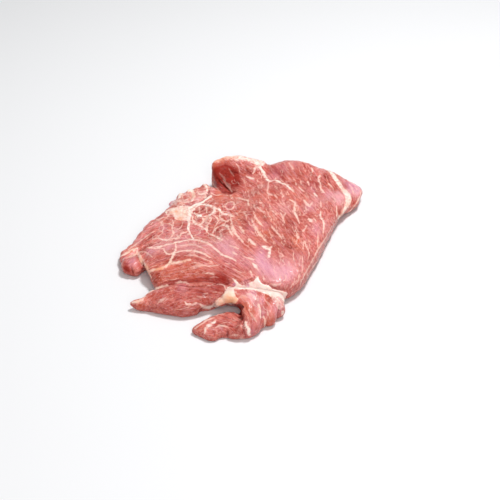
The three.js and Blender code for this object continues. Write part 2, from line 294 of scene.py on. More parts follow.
# The way the fibres run, as it is seen: place and step in pixels of the reference view.
ARROWS = [
    ((255, 205), (4, 9)), ((275, 225), (5, 10)), ((300, 205), (4, 9)), ((320, 215), (1.5, 9)),
    ((325, 185), (3, 8)), ((300, 180), (4, 7)), ((282, 172), (0.5, 8)), ((310, 245), (-1, 10)),
    ((300, 270), (-2, 8)), ((285, 250), (3, 10)), ((265, 240), (5, 9)), ((340, 200), (2, 8)),
    ((160, 247), (10, -2)), ((180, 242), (10, -2)), ((200, 243), (10, 2)), ((215, 252), (8, 6)),
    ((230, 260), (9, 4)), ((245, 268), (8, 6)), ((185, 262), (10, -1)), ((210, 270), (10, 1)),
    ((165, 275), (9, -1)), ((240, 250), (8, 9)), ((180, 230), (9, 0)), ((200, 220), (7, 5)),
    ((150, 240), (9, -4)), ((190, 200), (8, -4)), ((150, 302), (10, -3)), ((180, 298), (10, -2)),
    ((205, 295), (10, -1)), ((220, 292), (8, 2)), ((180, 280), (10, -2)), ((210, 278), (10, 0)),
    ((225, 172), (5, 10)), ((245, 172), (5, 8)), ((216, 170), (3, 9)), ((240, 158), (9, 4)),
    ((245, 298), (3, 9)), ((250, 318), (1, 10)), ((262, 310), (2, 9)), ((272, 312), (1, 9)),
    ((262, 296), (9, 3)), ((205, 327), (8, -6)), ((225, 325), (9, -1)), ((222, 314), (9, -3)),
    ((130, 265), (9, -4)), ((130, 253), (8, -5)),
]
# The height at which the arrows lie, how far each counts, the cell of the grid on which the
# distances along and across the grain are worked out, and the weight that steadies them.
ARROW_HEIGHT = 17.0
ARROW_REACH = 17.0
GRAIN_CELL = 5.0
GRAIN_ANCHOR = 1e-6

# Strands of fat, as they are seen: route and width in pixels of the reference view, and how
# far they hide the lean.
DRAWN_STRANDS = [
    # The ring and the net at the upper left.
    ([(193, 211), (195.5, 208), (199, 205.8), (204.5, 204.9), (209.5, 206), (213.3, 208.2),
      (214.5, 211), (212.5, 214.3), (208, 216.2), (202.5, 217), (197.5, 215.8), (194, 213)],
     2.3, 1),
    ([(199.2, 207.5), (200, 210.5), (199.5, 213.5)], 0.9, 0.8),
    ([(206, 207.5), (207, 210.5), (206.5, 213.5)], 0.9, 0.8),
    ([(214.5, 209.3), (218.5, 209.3), (221, 211.8), (224, 214.2), (229, 215.2), (233, 216.8)],
     2.0, 1),
    ([(192.5, 217), (193, 221), (195, 224), (198.5, 225.8), (203, 228.5), (207, 231)], 1.6, 0.9),
    ([(202, 217.5), (203.5, 221), (201.5, 224), (198.5, 225.8)], 1.3, 0.85),
    ([(209.5, 216.5), (211.5, 219.5), (209, 223), (207, 227), (208, 231)], 1.0, 0.8),
    ([(212, 215), (216, 217.5), (218.5, 221), (216, 225)], 0.9, 0.75),
    ([(220.5, 211.8), (219.5, 216), (222.5, 220), (226.5, 221.5), (231.5, 220)], 0.9, 0.75),
    ([(230.5, 217.5), (231.5, 222), (233, 227), (235.5, 232.5), (238, 237)], 1.2, 0.85),
    ([(222, 225), (227, 226.5), (230, 231.5), (233, 236)], 1.3, 0.9),
    ([(212, 235.5), (217, 237.5), (222, 240)], 1.3, 0.9),
    ([(206, 231.5), (210, 234.5), (215, 236.5)], 0.9, 0.8),
    ([(218, 227), (214.5, 230), (212.5, 234)], 0.8, 0.65),
    ([(223, 229), (220, 232), (222, 236.5)], 0.8, 0.6),
    ([(224.7, 205.6), (228, 203), (233, 202.2), (234.2, 206.4), (231.3, 209.7), (226.4, 208.2),
      (224.7, 205.6)], 1.0, 0.75),
    ([(235.5, 198), (240, 198.6), (244.6, 199.8), (248, 201.4), (248.9, 206.4)], 1.1, 0.85),
    ([(187, 236), (189.5, 233.5), (191.5, 236)], 1.0, 0.8),
    ([(180, 237), (181.5, 233.5), (186, 232.5), (189, 230)], 1.1, 0.75),
    ([(172, 219.5), (173.5, 224), (172, 229), (173.5, 234), (171, 238)], 1.1, 0.75),
    ([(173.5, 228), (178, 229.5), (181.5, 227), (183, 222.5)], 0.8, 0.6),
    ([(160, 222), (163.5, 226), (162.5, 231), (158, 233)], 0.8, 0.6),
    ([(152.5, 239.5), (158, 238.5), (164, 240), (171, 239.5), (179, 238)], 1.2, 0.8),
    ([(145, 238), (150, 234), (156, 231.5)], 0.9, 0.6),
    ([(153.5, 217.5), (158.5, 220), (165, 217.5), (168, 219.5)], 0.8, 0.6),
    # The fringe.
    ([(173, 202.5), (178, 201.5), (184, 203), (190, 201.5)], 1.2, 0.7),
    ([(186, 195), (182.5, 197), (184, 200.5), (188.5, 199)], 1.1, 0.7),
    ([(197, 191), (199.5, 194.5), (204, 194), (206.5, 197.5)], 1.2, 0.75),
    ([(211, 193), (216, 194.8), (222, 194)], 1.0, 0.7),
    # The sweep at the left and centre.
    ([(150, 247.3), (158, 246.8), (166, 245.2), (174, 243.2), (183, 241.3), (190, 240.3),
      (198, 240.9), (206, 243), (212, 246), (216.5, 250), (221.6, 254.4), (229.7, 258),
      (236, 261)], 1.3, 0.85),
    ([(147, 248), (156, 248.3), (163, 249), (165.5, 252.3), (169, 254.3), (175, 253),
      (181, 251.6), (188, 250.8), (196, 251.4), (203, 253.6), (210, 257.5)], 1.1, 0.8),
    ([(175.5, 244), (175.8, 249), (173.5, 254.5), (171.5, 259), (169, 263.5), (164, 267.3),
      (157, 269.5), (149.5, 271)], 1.8, 0.95),
    ([(170, 263.5), (176, 263), (182, 261.5), (190, 260)], 1.7, 0.85),
    ([(137, 252), (141, 258), (145, 265.5), (148, 271), (151, 277.5)], 1.9, 0.9),
    ([(137.5, 252.5), (143, 251.5), (148, 253.5), (152.5, 257.5)], 0.8, 0.55),
    ([(180, 246), (189, 245), (198, 246), (206, 249.5)], 0.8, 0.6),
    ([(185, 255.5), (194, 255.5), (203, 258.5), (212, 262)], 0.8, 0.55),
    ([(229.7, 245.6), (234, 246.8), (238.5, 249.3)], 0.9, 0.6),
    ([(233, 252), (236.5, 255)], 1.1, 0.65),
    ([(242, 256), (248, 258), (254, 259.6)], 0.9, 0.65),
    ([(194, 266), (202, 265.2), (211, 266.4), (218, 264.8)], 0.8, 0.55),
    ([(121, 256.5), (126.5, 253), (132, 250.3), (137, 248.6)], 1.8, 0.9),
    ([(122.5, 259.5), (129, 257), (136, 253.8)], 1.1, 0.7),
    ([(128, 249.8), (134, 245.5), (140, 241.5), (146, 236.5)], 1.0, 0.65),
    # The side muscle and the tongue.
    ([(132, 302.5), (137, 301.8), (142, 299.5), (147.5, 293.5), (153, 290), (160, 286.8),
      (167, 285.2)], 1.4, 0.85),
    ([(175, 283), (182, 282), (188, 283.5)], 1.1, 0.6),
    ([(206, 285.5), (214, 284.6), (223, 285.3), (226, 290)], 1.1, 0.7),
    ([(184.5, 301.5), (187, 304), (191.5, 304.7), (196.5, 303)], 1.1, 0.75),
    ([(200.5, 304.5), (205, 306.8), (211, 306.3), (216, 303), (220, 298.5), (224, 295)], 1.9, 0.8),
    ([(157.5, 304), (161, 300.5), (165, 298)], 1.3, 0.5),
    ([(216, 320), (211.5, 323.5), (206.5, 328), (204.5, 333)], 1.7, 0.85),
    ([(194.5, 329), (201, 324.5), (207.5, 320), (214, 318)], 1.0, 0.55),
    ([(216, 327), (221, 325.5), (227, 327)], 1.2, 0.5),
    # Above the seam and on the flap.
    ([(253, 263.2), (255, 265.8), (257.5, 269.5)], 2.0, 0.95),
    ([(250.2, 270.6), (252, 275)], 1.2, 0.7),
    ([(256, 276), (256.5, 279)], 1.5, 0.6),
    ([(263, 276), (264, 280)], 1.1, 0.55),
    ([(271, 284), (275, 285), (280, 284.3)], 1.1, 0.6),
    ([(245.1, 321.5), (246.4, 324.7), (248.7, 329.5), (249, 335)], 2.6, 0.95),
    # Painted highlight: a pale line down the flap where it catches the light.
    ([(248.5, 309), (251, 313.5), (254, 318.5), (256.5, 322)], 1.0, 0.5),
    ([(263.8, 316), (265, 321), (264.3, 326.5), (262, 330)], 1.7, 0.7),
    # Painted highlight: a pale arc on the top of the fold.
    ([(239, 297.6), (243, 296.4), (247, 297.5)], 1.7, 0.3),
    ([(248, 293.5), (253, 296), (258, 301)], 1.7, 0.4),
    ([(281.5, 311), (283.2, 312.6), (281.8, 315)], 1.3, 0.8),
    ([(276.5, 299), (278, 303.5), (278, 308)], 1.3, 0.6),
    ([(240, 338), (246, 339.3), (252, 338.5)], 1.2, 0.45),
    # The rim and the vein that runs down from it.
    ([(215, 162), (222, 159), (229, 157.8), (236, 158.5), (243, 159.5)], 1.6, 0.6),
    ([(236.3, 164.1), (238.5, 167.5), (240, 172)], 1.1, 0.6),
    ([(228.5, 168), (231, 172), (233.5, 175.5)], 1.0, 0.3),
    ([(219.5, 173), (223.5, 178), (226, 183), (230, 186.5)], 1.4, 0.35),
    ([(225.5, 184.5), (228, 187), (231.5, 191)], 1.2, 0.45),
    ([(211.5, 180.5), (214.5, 186), (219, 190.5), (224, 193.5)], 1.2, 0.4),
    ([(241.5, 178), (244.5, 182), (245.5, 186.5)], 1.0, 0.35),
    ([(247, 165.5), (250, 168), (253, 169.5)], 1.0, 0.25),
    ([(252.9, 173), (256, 168), (260, 165.5)], 1.9, 0.8),
    ([(246.3, 175.7), (249.5, 178), (253, 178.8)], 1.6, 0.65),
    ([(259.5, 165), (261, 168.5), (263, 172), (266, 178), (269.5, 182.3)], 2.2, 0.95),
    ([(269.5, 181.5), (275.3, 180.7), (281, 183), (286.5, 184.8), (289.4, 188.1), (293, 191.8)],
     1.9, 0.9),
    ([(275.5, 177.5), (275.2, 180.7)], 1.2, 0.7),
    ([(268.3, 183), (268, 188), (267.3, 192.5), (271.5, 195.5)], 1.3, 0.6),
    ([(288.6, 162.4), (291, 166), (293, 169)], 1.2, 0.6),
    # The middle.
    ([(253.9, 211.9), (255.4, 217), (259, 222.1), (262.5, 226)], 1.3, 0.8),
    ([(251.7, 219.2), (253.9, 225), (257.6, 231), (262, 236.8), (266.4, 242)], 1.8, 0.75),
    ([(263, 246.4), (267, 247.8), (269.5, 251), (269, 257.5)], 2.4, 0.9),
    ([(271.5, 246.3), (268.8, 248.6)], 1.5, 0.8),
    ([(271.5, 225.8), (273.7, 229.5), (278, 233.9), (281.8, 239)], 1.1, 0.7),
    ([(280.3, 212.6), (282.5, 217), (284.7, 222.9)], 1.3, 0.7),
    ([(285.8, 212.5), (283.5, 217)], 1.0, 0.55),
    ([(289.8, 199.4), (294.8, 203), (294.6, 207.5), (294.2, 211.9), (296.4, 216.3),
      (299.4, 223.6)], 1.5, 0.8),
    ([(303.8, 200), (306.7, 203.5), (309.5, 206.5)], 1.3, 0.75),
    ([(312.6, 201.6), (309.8, 206.3)], 1.0, 0.6),
    ([(231, 224.3), (232.6, 231), (237, 235.4), (242.9, 242)], 1.4, 0.8),
    ([(239.2, 226.5), (241.5, 229.5), (244.5, 233.5)], 1.4, 0.7),
    ([(248.7, 238.3), (251.7, 242), (255.4, 245.5)], 1.5, 0.8),
    ([(248.6, 238.5), (248, 242.7)], 1.1, 0.6),
    ([(257, 207), (261, 210), (264, 211.5)], 1.1, 0.6),
    ([(243, 212), (246, 216), (246.5, 220)], 1.1, 0.55),
    ([(274, 195), (277, 198)], 1.2, 0.6),
    # The right and the tip.
    ([(308.6, 218.5), (311.2, 221.6)], 1.7, 0.85),
    ([(313.5, 218), (316, 221.5)], 1.0, 0.6),
    ([(320.7, 210.8), (320.7, 216.5), (323.4, 222), (323.6, 228), (323, 233)], 1.8, 0.9),
    ([(306.5, 225), (305.6, 228), (303, 231.5)], 1.3, 0.6),
    ([(304.5, 240.5), (306.7, 247.8), (308.9, 252.2), (308.2, 259)], 1.1, 0.65),
    ([(317.7, 232.4), (318, 239), (317.5, 246.4)], 0.9, 0.65),
    ([(302.3, 255.9), (302.8, 264), (302, 272.8)], 0.9, 0.6),
    ([(301, 279), (300.3, 287)], 0.9, 0.6),
    # Painted rim light along the right edge, over a pale line of membrane.
    ([(332, 226), (326, 237), (319, 248), (312, 261), (305.5, 273), (300, 284)], 1.0, 0.6),
    ([(319.7, 175.4), (318.2, 178.6), (320, 183), (320.8, 188.5), (324, 192.5)], 1.6, 0.8),
    ([(311.5, 167.5), (313, 171.5)], 1.5, 0.8),
    ([(307.7, 181), (309.3, 185.5)], 1.4, 0.7),
    ([(295.7, 182.5), (296.3, 185)], 1.3, 0.7),
    ([(298.6, 186.4), (301, 189), (304.2, 192)], 1.3, 0.7),
    ([(313.7, 193), (316.5, 196.5)], 2.0, 0.8),
    ([(320.6, 201.5), (321.2, 207.5)], 1.2, 0.7),
    ([(303.9, 200.7), (306.7, 204.5), (310.6, 207.5)], 1.1, 0.6),
    ([(328.3, 183), (331, 186), (333.5, 189)], 1.5, 0.65),
    ([(336.4, 206), (336.8, 211), (336.6, 217)], 1.5, 0.8),
    ([(361.5, 190), (358.5, 199.5), (352.5, 208.5), (345, 215), (339, 219.5)], 1.1, 0.75),
    ([(349, 184), (352, 189), (353.5, 193.5)], 1.2, 0.5),
]

# Broad patches and bands of fat, given in the same way.
BROAD_FAT = [
    # The veins that leave the patch at the upper left.
    ([(190, 208.5), (196, 205.5), (202, 202.8), (207, 199), (211, 196.2)], 2.8, 1),
    ([(189.8, 215), (189, 223), (188.3, 229)], 2.4, 1),
    ([(188.3, 229), (190.5, 234.5), (193.5, 239.5)], 1.7, 0.85),
    # The fringe.
    ([(179.5, 198), (181, 193.5), (186, 190.8), (192, 190.5)], 3.4, 0.95),
    ([(192.8, 191.5), (193.6, 196), (192, 201.5)], 3.0, 0.85),
    ([(199, 185.8), (203.5, 184.5), (206.8, 187), (207, 191)], 2.2, 0.85),
    ([(171, 203.5), (176, 200.5), (180.5, 198.5)], 1.8, 0.55),
    # The flap.
    ([(258.3, 304.5), (260.3, 310.4), (260.5, 317)], 2.6, 0.7),
    ([(273, 298), (278, 300), (281, 304)], 3.0, 0.55),
    # The rim's lip.
    ([(224, 157.5), (231, 156.3), (238, 157.2)], 2.6, 0.66),
    ([(240, 157), (248, 159.5), (257, 163), (263, 164.5)], 2.2, 0.72),
    # The back edge of the tip.
    ([(303, 162), (313, 164.8), (322, 168.4), (328, 171)], 1.8, 0.7),
    ([(336, 174), (343, 177.8), (350, 182.2), (356, 186)], 2.2, 0.62),
]

# Outlines of the broadest areas of fat, as they are seen, the width of their soft edge and the
# most fat in them: a half is mottled.
FAT_AREAS = [
    # The patch at the upper left.
    ([(165.5, 212), (170, 209.3), (175, 208), (180, 206.3), (185.5, 206.6), (190, 206.8),
      (192.5, 209), (192.6, 212.5), (191.4, 217), (188.5, 221), (184, 221), (179, 220.6),
      (175, 219.6), (172, 215.2), (168.5, 215.8), (166, 214.8)], 2.2, 0.53),
    # The pale lobes of the fringe.
    ([(171, 204), (176, 200), (180, 195), (184, 190), (191, 189), (197, 186), (202, 183),
      (208, 186), (211, 188), (208, 194), (203, 199), (196, 203), (188, 205), (178, 206.5)],
     3, 0.4),
    # The nodule.
    ([(226, 288.5), (229, 286.4), (233, 287.3), (234.3, 292), (236, 296.5), (238.6, 299.5),
      (236, 303.2), (231, 304.2), (226.5, 302.8), (222, 304.2), (217, 307.2), (214.5, 306.4),
      (218.5, 301.5), (222.5, 297), (225, 292.5)], 2.0, 1),
    # The seam.
    ([(232.5, 288), (235.5, 286), (234.5, 282.5), (231.6, 277.6), (236, 280), (239.5, 284),
      (243.2, 285.2), (242.4, 281.2), (246.5, 282.4), (250.5, 282.2), (253.4, 281.5),
      (255.6, 278.8), (258, 276.6), (259.6, 280.6), (262.4, 283.8), (266, 285), (270, 286.4),
      (273.5, 289.3), (279, 290.3), (287.4, 292.8), (285.8, 296.6), (284, 302.6), (281.8, 299.6),
      (277, 297.6), (272.5, 297.8), (268, 295.4), (262, 292.8), (256, 290.4), (249, 289.6),
      (241, 289.4), (235.5, 289.8)], 1.6, 1),
    # Below the seam, and at the right of the flap.
    ([(271, 296), (278, 296.5), (283, 299), (282.5, 308), (279, 312), (276, 304)], 3, 0.42),
    # The band across the right tip.
    ([(328.5, 170.4), (333.5, 173.2), (337, 178.2), (341, 183.4), (345.5, 189.4), (350.4, 194.6),
      (351.2, 201), (348.5, 206.6), (344.6, 211.4), (341, 216), (337.8, 219.6), (337.6, 217.2),
      (341.4, 211.4), (344.2, 207), (345.6, 201.6), (344.2, 195.4), (340.4, 189),
      (336.6, 183.2), (332, 177.4)], 2.6, 0.56),
    # The lip of the rim.
    ([(212, 162.6), (218, 158.4), (226, 154.5), (236, 152.5), (247, 155), (256, 159.5),
      (265, 162.5), (263, 166), (254, 164.2), (244, 160.4), (236, 160.5), (226, 160.5),
      (217, 163)], 2.2, 0.5),
]
# The step between samples of a broad band, the share of fat on the outline of an area, and how
# far the deep tint, dark red lean and partly painted shade, clears the fat away, broad and in
# strands.
BROAD_STEP = 0.8
FAT_EDGE = 0.45
FAT_CLEARED = 0.8
STRANDS_CLEARED = 0.4

# The step between samples of a strand and the share of its width at its ends.
STRAND_STEP = 0.5
TAPER_END = 0.45
# Thin strands that grow along the grain where the view shows no single one: how many, how far
# they keep from the drawn ones, their lengths, half widths and strengths, and how far they turn
# from the grain.
STRAND_COUNT = 660
STRAND_CLEARANCE = 1.5
STRAND_LENGTHS = (4.0, 15.0)
STRAND_HALF_WIDTHS = (0.1, 0.27)
STRAND_STRENGTHS = (0.3, 0.8)
STRAND_TURN = 0.6
STRAND_WAVE = 0.35
WAVE_PHASE = 9
# Branches: how common they are, how far they turn, the fewest samples of a strand that has one,
# its length, and its width and strength.
BRANCH_SHARE = 0.45
BRANCH_TURN = 0.8
BRANCH_SAMPLES = 8
BRANCH_LENGTH = 0.5
BRANCH_WEIGHT = 0.8
# Where strands start: above this height, on skin that faces up at least this much, with this
# weight. The crowds have more of them: pixel of the reference view, radius and added weight.
OPEN_HEIGHT = 2
OPEN_FACING = -0.3
STRAND_BASE = 0.35
STRAND_CROWDS = [
    (275, 215, 32, 1.3), (255, 225, 18, 0.5), (190, 250, 20, 0.8), (310, 190, 25, 0.8),
    (240, 195, 14, 0.8), (262, 310, 14, 1.0), (305, 250, 20, 0.5),
]

# The net of fat between the lobes at the upper left: its middle in pixels of the reference
# view, its reach along X and Y, the shares of that reach between which it fades, how far past it
# the lobes are laid, their size and how far their middles stray, the half widths of the walls,
# the half width below which a wall is missing, and how strong the walls are.
NET_MIDDLE = (194, 221)
NET_REACH = (54.0, 42.0)
NET_FADE = (0.75, 1.15)
NET_SPREAD = 1.3
NET_CELL = 8.0
NET_STRAY = 0.4
NET_HALF_WIDTHS = (0.1, 0.5)
NET_MISSING = 0.3
NET_STRENGTH = 0.6
# How far the net is bent, over what length, and where its two bends are taken from the noise.
NET_WARP = 7.0
NET_WARP_REACH = 9
NET_WARP_SHIFTS = ((0, 40), (70, 0))
# The gap of a point that no wall is near.
FAR_GAP = 99.0

# Tints, as they are seen: pixel of the reference view, radius in its pixels and strength. Each
# is listed under the form that it lies on or beside. The deep tint is dark red lean and partly
# painted shade. The veil and the mauve are membrane colours and partly painted sheen.
TINTS = {
    "deep": [
        # The rim and the back edge: dark red lean, with painted shade in the rim's trough and
        # slits.
        (218, 170, 4, 0.5), (218, 175, 4, 0.9), (218, 181, 4, 0.7), (223, 168, 6, 0.5),
        (229, 168, 6, 0.45), (229, 176, 6, 0.6), (235, 176, 6, 0.6), (236, 184, 6, 0.55),
        (222, 184, 4, 0.9), (226, 188, 3, 0.8), (231, 175, 5, 0.6), (233, 181, 5, 0.7),
        (247, 169, 4, 0.6), (250, 173, 3, 0.5), (238, 172, 6, 0.35), (238, 183, 6, 0.4),
        (224, 173, 5, 0.5), (223, 176, 7, 0.5), (214, 169, 4, 0.35), (213.5, 174, 4, 0.6),
        (213.5, 180, 4, 0.4),
        # The fringe.
        (184, 198, 3, 0.45), (201.5, 188.5, 3.2, 0.4), (188, 203.6, 2.2, 0.5), (193, 203, 2, 0.4),
        (229, 206, 3, 0.4),
        # The net.
        (196, 211, 2.0, 0.8), (202.8, 209.5, 2.4, 0.8), (210, 210.5, 2.2, 0.85),
        (197.5, 219, 2.5, 0.4), (206.5, 221, 2.5, 0.4), (214, 222, 2.5, 0.5), (223, 217, 2.6, 0.5),
        (218, 232, 3, 0.5), (225, 233, 2.5, 0.5), (208.5, 228.5, 2, 0.5), (229, 224, 3, 0.45),
        (181, 224.5, 4, 0.6), (184, 229, 3, 0.4), (159, 217.5, 3, 0.5), (167.5, 221.5, 2.4, 0.6),
        (151, 236, 3, 0.6), (168.5, 213, 1.6, 0.4), (171, 215.5, 1.4, 0.4),
        # The left edge and end, with painted shade in the hollows of the cut end.
        (125.5, 268, 3.2, 1), (129, 271, 3, 0.8), (134, 273, 3, 0.35), (138, 258, 2, 0.6),
        (143.5, 242, 3, 0.4),
        # The sweep.
        (151, 245.5, 2.4, 0.7), (183, 257, 6, 0.45), (168, 259, 4, 0.5), (195, 258, 6, 0.35),
        (158, 261, 4, 0.4), (176, 258, 4, 0.4),
        # The side muscle, with painted shade over its front and in the crease above it.
        (160, 299, 9, 0.35), (180, 296, 10, 0.35), (202, 296, 9, 0.35), (150, 273, 3, 0.6),
        (158, 273, 5, 0.5), (168, 277, 6, 0.5), (155, 281, 5, 0.45), (180, 279, 7, 0.35),
        (193, 277, 7, 0.4), (206, 278, 7, 0.5), (220, 275, 7, 0.6), (226, 281, 5, 0.7),
        (216, 281, 6, 0.4), (213, 290, 6, 0.5), (220, 289, 4, 0.5), (200, 293, 7, 0.35),
        # The seam and the nodule: painted shade in the pocket of the seam.
        (245.2, 284, 2.4, 0.7), (248.6, 285.6, 2, 0.6),
        # The flap and the tongue, with painted shade in the hollow under the fold and in its
        # notches.
        (240, 304, 3, 0.8), (239, 308, 3, 1), (239, 314, 4, 1), (241, 319, 3, 0.9),
        (232, 309, 4, 1), (248, 320, 3, 0.4), (242.5, 333, 3, 0.5), (256.3, 328.7, 2.5, 0.6),
        (279, 315, 3, 0.6), (236, 331, 4, 0.4), (226, 321, 4, 0.4), (213, 333, 4, 0.35),
        (222, 332, 4, 0.35),
        # The middle.
        (270, 236, 10, 0.4), (284, 248, 8, 0.35), (245, 220, 5, 0.45), (250, 212, 5, 0.45),
        (246, 226, 5, 0.35), (266, 218, 4, 0.5), (276, 229, 4, 0.4), (282, 226, 4, 0.4),
        (289, 222, 6, 0.55), (292, 231, 6, 0.5), (286, 240, 5, 0.45), (291, 246, 3, 0.7),
        (256, 204, 5, 0.35), (278, 172, 5, 0.5), (283, 176, 4, 0.5), (272, 171, 4, 0.4),
        (277, 187, 5, 0.4), (259, 192, 5, 0.35), (289, 288, 4, 0.5), (288, 170, 6, 0.25),
        (282, 168, 6, 0.25),
        # The right and the tip.
        (310, 262, 8, 0.35), (299, 217, 4, 0.4), (293, 184, 4, 0.6), (305, 184, 5, 0.4),
        (311, 180, 4, 0.5), (316, 186, 5, 0.55), (312, 174, 3, 0.5), (326, 176, 4, 0.75),
        (323.5, 184, 4, 0.6), (334.5, 188.5, 3, 0.7), (346, 186, 4, 0.6), (339.5, 211.5, 3, 0.7),
        (355, 203, 3.5, 0.6), (345, 215.5, 3, 0.5), (299, 172, 5, 0.4), (297, 252, 5, 0.4),
        (296, 174, 8, 0.25),
    ],
    "warm": [
        # The rim and the back edge.
        (218, 160, 5, 0.6), (213, 188, 5, 0.6), (218, 190, 5, 0.5), (212.5, 165, 5, 1),
        (212.5, 171, 5, 1), (212, 178, 5, 1), (212, 184, 4, 0.8), (219, 162, 5, 0.7),
        (224, 160, 5, 0.6), (232, 159, 5, 0.5), (217, 165, 3, 0.5), (220, 178, 2.5, 0.5),
        (225, 183, 2, 0.4), (215, 190, 4, 0.4),
        # The fringe.
        (230, 200, 8, 0.4), (218, 203, 6, 0.4), (184, 197, 4, 0.4), (196, 192, 6, 0.3),
        (221, 195.5, 4, 0.9), (229, 195, 4, 0.7), (236, 194, 4, 0.5), (192, 196, 4, 0.4),
        (206, 180, 3, 0.4),
        # The net.
        (172, 212, 5, 0.25), (182, 212, 6, 0.25), (176.5, 212.3, 1.8, 0.6), (180, 220.5, 3.5, 0.9),
        (179, 214.3, 1.8, 0.5), (185, 214.6, 1.8, 0.5), (171.5, 213.5, 1.6, 0.7),
        (176, 212.5, 1.2, 0.6),
        # The left edge and end.
        (133.5, 271, 3, 0.7), (131, 266, 3, 0.3), (147, 266, 4, 0.7), (141, 260, 3, 0.6),
        (128, 254, 5, 0.5), (134, 251, 4, 0.4), (142, 257, 4, 0.5), (148, 271, 4, 0.5),
        # The sweep.
        (160, 269, 4, 0.6), (190, 262, 6, 0.35), (236, 219, 5, 0.6), (153, 243, 3, 0.4),
        (158, 268, 5, 0.4), (170, 262, 5, 0.45), (184, 260, 6, 0.4),
        # The side muscle.
        (172, 280, 8, 0.45), (196, 281, 8, 0.45), (124, 301, 5, 0.9), (138, 306, 4, 0.9),
        (144, 303, 4, 0.5), (155, 279, 7, 0.6), (166, 282, 5, 0.5), (176, 272, 7, 0.4),
        (200, 283, 6, 0.4), (165, 275, 8, 0.4), (190, 273, 9, 0.4), (210, 273, 8, 0.4),
        # The seam and the nodule.
        (228, 300, 5, 0.9), (233, 301, 4, 0.6), (238, 299.5, 3, 0.6), (220, 303, 4, 0.6),
        (241, 277, 6, 0.4),
        # The flap and the tongue.
        (244, 302, 4, 0.5), (248, 308, 5, 0.5), (266, 304, 5, 0.5), (268, 318, 6, 0.6),
        (250, 306, 6, 0.4), (243, 299, 3, 0.4), (244, 303, 4, 0.5), (252, 309, 4, 0.35),
        (271, 323, 4, 0.5), (218, 336, 4, 0.4), (200, 329, 4, 0.4), (268, 301, 4, 0.6),
        (250, 303, 5, 0.4), (267, 319, 4, 0.5), (252, 316, 4, 0.4),
        # The middle.
        (270, 215, 9, 0.35), (284, 224, 9, 0.4), (264, 233, 8, 0.35), (242, 226, 8, 0.35),
        (267, 234, 6, 0.7), (262, 228, 5, 0.5), (256, 222, 5, 0.5), (240, 215, 5, 0.5),
        (249, 204, 5, 0.5), (292, 201, 6, 0.35), (262, 196, 6, 0.35),
        # The right and the tip.
        (342, 189, 4, 0.4), (347, 205, 4, 0.4), (340, 215, 4, 0.5), (293, 240, 8, 0.4),
        (294, 247, 6, 0.7), (301, 246, 4, 0.5), (296, 238, 5, 0.4), (334, 188, 3, 0.6),
        (328, 185, 3, 0.4), (341, 211, 3, 0.6), (354, 204, 4, 0.7),
    ],
    "veil": [
        # The rim and the back edge.
        (266, 163, 6, 0.4), (280, 161, 6, 0.5), (295, 163, 6, 0.5), (248, 158.5, 5, 0.5),
        # The fringe.
        (197, 204, 6, 0.5), (172, 204, 5, 0.6), (186, 193, 5, 0.4), (198, 197, 5, 0.3),
        (206, 193, 4, 0.4),
        # The net.
        (170, 213, 4, 0.6), (190, 224, 5, 0.4), (176, 232, 6, 0.5), (156, 224, 5, 0.4),
        # The left edge and end.
        (132, 262, 5, 0.4), (146, 230, 4, 0.4), (138, 240, 5, 0.4),
        # The sweep: membrane, with painted sheen.
        (230, 246, 8, 0.4), (165, 243, 8, 0.5), (178, 247, 8, 0.5), (190, 247, 8, 0.5),
        (204, 249, 8, 0.5), (155, 250, 6, 0.5), (217, 246, 7, 0.4), (228, 251, 8, 0.5),
        (224, 241, 7, 0.4),
        # The flap and the tongue: painted highlights on the bulges of the flap.
        (245, 295, 5, 0.4), (252, 298, 5, 0.7), (257, 303, 5, 0.7), (250, 294, 4, 0.4),
        (277, 300, 4, 0.9), (278, 311, 5, 0.6), (262, 312, 5, 0.5), (270, 309, 4, 0.4),
        (260, 326, 6, 0.4), (250, 330, 5, 0.4),
        # The middle: membrane, with painted sheen where it slopes to the front.
        (258, 268, 8, 0.4), (284, 266, 9, 0.4), (263, 262, 7, 0.5), (268, 270, 8, 0.6),
        (279, 272, 8, 0.6), (289, 273, 8, 0.45), (274, 277, 6, 0.4), (259, 256, 6, 0.4),
        (287, 209, 6, 0.35), (279, 207, 6, 0.35),
        # The right and the tip: membrane, with painted sheen on the tip.
        (354, 189, 7, 0.8), (300, 262, 8, 0.4), (338, 194, 5, 0.8), (340, 200, 5, 0.8),
        (344, 197, 5, 0.6), (336, 203, 4, 0.5), (354, 190, 6, 0.8), (343, 180, 4, 0.6),
        (349, 181, 4, 0.8), (355, 187, 5, 1), (351, 190, 4, 0.8), (316, 200, 7, 0.35),
        (311, 206, 6, 0.4), (325, 199, 6, 0.35), (331, 196, 5, 0.4), (314, 226, 6, 0.4),
        (326, 226, 6, 0.35), (322, 170, 4, 0.4),
    ],
    "mauve": [
        # The rim and the back edge.
        (219, 187, 5, 0.4), (212, 190, 4, 0.4),
        # The fringe.
        (188, 203.6, 2.6, 0.5), (170, 206, 4, 0.7), (174, 201, 4, 0.5), (229, 206, 3.5, 0.3),
        # The net.
        (186, 237, 4, 0.4), (199, 233, 6, 0.35), (164, 229, 4, 0.5),
        # The left edge and end.
        (132, 261, 4.5, 0.5), (124, 259, 3, 0.5),
        # The sweep: painted sheen.
        (223, 248, 7, 0.35), (234, 254, 7, 0.35), (150, 251, 5, 0.4),
        # The side muscle.
        (182, 287, 5, 0.5),
        # The seam and the nodule.
        (245.4, 283.8, 3, 0.7), (248.6, 285.4, 2, 0.6), (234.8, 284.5, 2, 0.9),
        # The flap and the tongue.
        (262.5, 300, 2.5, 0.6), (254, 292, 2.5, 0.7), (280, 309, 4, 0.5), (263, 313, 3, 0.5),
        (253, 333, 3, 0.4),
        # The middle: membrane, with painted sheen where it slopes to the front.
        (262, 251, 6, 0.45), (262, 260, 6, 0.6), (266, 268, 6, 0.5), (272, 272, 5, 0.4),
